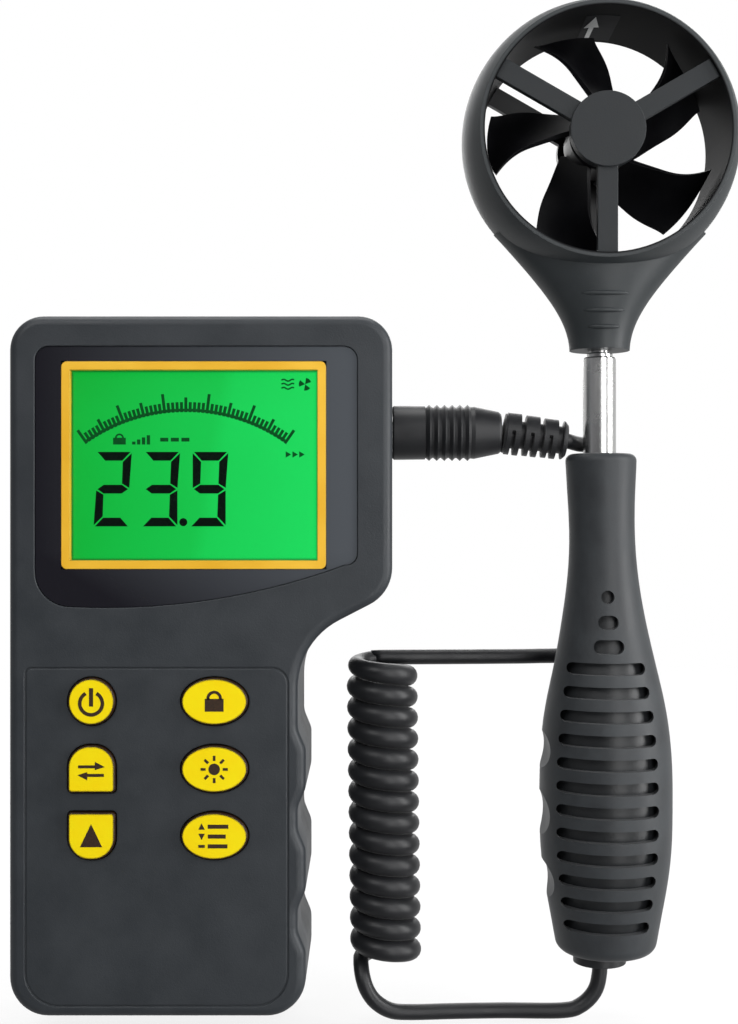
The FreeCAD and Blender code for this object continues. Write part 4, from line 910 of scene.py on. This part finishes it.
def wall_sheet(rows, lift):
    """A thin curved sheet on the ring's inner wall, from rows of (angle in degrees, depth in mm) places."""
    mesh = bmesh.new()
    sides = []
    for height in (lift, lift + SHEET):
        reach = (BORE_RADIUS - height) * MM
        side = []
        for row in rows:
            side.append([mesh.verts.new((PROBE_X + reach * math.cos(math.radians(angle)), deep * MM,
                                         HEAD.z + reach * math.sin(math.radians(angle))))
                         for angle, deep in row])
        sides.append(side)
    for side in sides:
        for first, second in zip(side, side[1:]):
            for number in range(len(first) - 1):
                mesh.faces.new((first[number], first[number + 1], second[number + 1], second[number]))
    for edge in (0, -1):
        under, over = sides[0][edge], sides[1][edge]
        for number in range(len(under) - 1):
            mesh.faces.new((under[number], under[number + 1], over[number + 1], over[number]))
    under, over = sides
    for end in (0, -1):
        for number in range(len(rows) - 1):
            mesh.faces.new((under[number][end], under[number + 1][end], over[number + 1][end],
                            over[number][end]))
    return mesh


def make_flow_label(materials):
    """Small dark label inside the top of the ring, with a white arrow pointing along the flow."""
    angles = [98.0 - 16.2 * number / LABEL_STEPS for number in range(LABEL_STEPS + 1)]
    sheet = [[(angle, deep) for angle in angles] for deep in (-6.4, 12.0)]
    add_piece("flow_label", wall_sheet(sheet, 0.02), materials["label"], "head", False)
    tip = [[(ARROW_ANGLE + across * reach, deep) for across in (-1, -0.33, 0, 0.33, 1)]
           for deep, reach in ((-5.2, 0.05), (2.3, 3.6))]
    shaft = [[(ARROW_ANGLE + across, deep) for across in (-1.15, 0, 1.15)] for deep in (2.3, 10.2)]
    for name, rows in (("flow_arrow", tip), ("flow_arrow_tail", shaft)):
        add_piece(name, wall_sheet(rows, 0.1), materials["arrow"], "head", False)


# ---------------------------------------------------------------- stage

FLOOR_RADIUS = 2.5
FLOOR_GAP = 0.8 * MM
LIGHT_AIM = Vector((0.05, 0.0, 0.12))
CAMERA_PLACE = (49.5 * MM, -360 * MM, 118.8 * MM)
CAMERA_LENS = 51.08
CAMERA_SENSOR = 36.0


def soft_light(name, place, width, height, power):
    """A white rectangular lamp turned towards the object."""
    data = bpy.data.lights.new(name, "AREA")
    data.shape = "RECTANGLE"
    data.size = width
    data.size_y = height
    data.energy = power
    item = bpy.data.objects.new(name, data)
    item.location = place
    item.rotation_euler = (LIGHT_AIM - Vector(place)).to_track_quat("-Z", "Y").to_euler()
    bpy.context.scene.collection.objects.link(item)


def make_floor():
    """A pale round floor that melts into the white surroundings."""
    mesh = bmesh.new()
    bmesh.ops.create_circle(mesh, cap_ends=True, segments=96, radius=FLOOR_RADIUS)
    data = bpy.data.meshes.new("floor")
    mesh.to_mesh(data)
    mesh.free()
    floor = bpy.data.objects.new("floor", data)
    floor.location = ((CAD_LOW.x + CAD_HIGH.x) / 2, 0, CAD_LOW.z - FLOOR_GAP)
    bpy.context.scene.collection.objects.link(floor)
    data.materials.append(floor_paper())


def floor_paper():
    """Pale paper under the object that clears away with distance."""
    shader = Shader("floor_paper")
    grain = shader.noise(60.0, 4.0, 0.6)
    tone = shader.mix(grain, (0.93, 0.93, 0.93, 1.0), (0.97, 0.97, 0.97, 1.0))
    shader.set(Base_Color=tone, Roughness=0.9, Specular_IOR_Level=0.1)
    clear = shader.node("ShaderNodeBsdfTransparent")
    blend = shader.node("ShaderNodeMixShader")
    length = shader.tree.nodes.new("ShaderNodeVectorMath")
    length.operation = "LENGTH"
    shader.join(shader.place, length.inputs[0])
    shader.join(shader.spread(length.outputs["Value"], 0.15, 0.9, 0.84, 1.0), blend.inputs[0])
    shader.join(shader.surface.outputs["BSDF"], blend.inputs[1])
    shader.join(clear.outputs[0], blend.inputs[2])
    shader.join(blend.outputs[0], shader.output.inputs["Surface"])
    return shader.material


def make_world():
    """White to the camera; for light and reflections a grey room, dark in front and bright behind."""
    world = bpy.data.worlds.new("studio")
    bpy.context.scene.world = world
    world.use_nodes = True
    nodes, links = world.node_tree.nodes, world.node_tree.links
    nodes.clear()
    output = nodes.new("ShaderNodeOutputWorld")
    seen = nodes.new("ShaderNodeBackground")
    room = nodes.new("ShaderNodeBackground")
    blend = nodes.new("ShaderNodeMixShader")
    ray = nodes.new("ShaderNodeLightPath")
    coordinate = nodes.new("ShaderNodeTexCoord")
    split = nodes.new("ShaderNodeSeparateXYZ")
    ramp = nodes.new("ShaderNodeValToRGB")
    shift = nodes.new("ShaderNodeMapRange")
    seen.inputs["Color"].default_value = (1.0, 1.0, 1.0, 1.0)
    shift.inputs["From Min"].default_value = -1.0
    stops = ramp.color_ramp.elements
    stops[0].position = 0.0
    stops[0].color = (0.06, 0.06, 0.065, 1.0)
    stops[1].position = 1.0
    stops[1].color = (1.0, 1.0, 1.0, 1.0)
    middle = stops.new(0.22)
    middle.color = (0.2, 0.2, 0.21, 1.0)
    links.new(coordinate.outputs["Generated"], split.inputs[0])
    links.new(split.outputs["Y"], shift.inputs["Value"])
    links.new(shift.outputs[0], ramp.inputs[0])
    links.new(ramp.outputs[0], room.inputs["Color"])
    room.inputs["Strength"].default_value = 0.62
    links.new(ray.outputs["Is Camera Ray"], blend.inputs[0])
    links.new(room.outputs[0], blend.inputs[1])
    links.new(seen.outputs[0], blend.inputs[2])
    links.new(blend.outputs[0], output.inputs["Surface"])


def make_lights():
    """Five soft lamps: place, width, height and power of each."""
    soft_light("key_light", (-0.35, -0.75, 0.75), 0.5, 0.5, 3.0)
    soft_light("front_strip", (0.34, -0.62, 0.2), 0.26, 0.9, 2.8)
    soft_light("side_light", (0.85, -0.25, 0.25), 0.3, 0.9, 6.5)
    soft_light("top_light", (0.05, 0.1, 0.95), 0.9, 0.5, 5.0)
    soft_light("back_light", (0.1, 0.9, 0.5), 0.9, 0.5, 4.0)


def make_camera():
    """Square on to the display, level with the middle of the picture, at close range."""
    data = bpy.data.cameras.new("camera")
    data.sensor_width = CAMERA_SENSOR
    data.lens = CAMERA_LENS
    data.clip_start = 0.01
    camera = bpy.data.objects.new("camera", data)
    camera.location = CAMERA_PLACE
    camera.rotation_euler = (math.radians(90), 0, 0)
    bpy.context.scene.collection.objects.link(camera)
    bpy.context.scene.camera = camera


# ---------------------------------------------------------------- build

def build():
    """Dress the CAD, add the pieces and set the stage."""
    materials = build_materials()
    dress_cad_nodes(materials)
    make_digits(materials)
    make_scale(materials)
    make_display_icons(materials)
    make_key_symbols(materials)
    make_cord(materials)
    make_relief(materials)
    make_neck_ridges(materials)
    make_flow_label(materials)
    make_floor()
    make_world()
    make_lights()
    make_camera()
    bpy.context.scene.view_settings.view_transform = "Standard"


build()
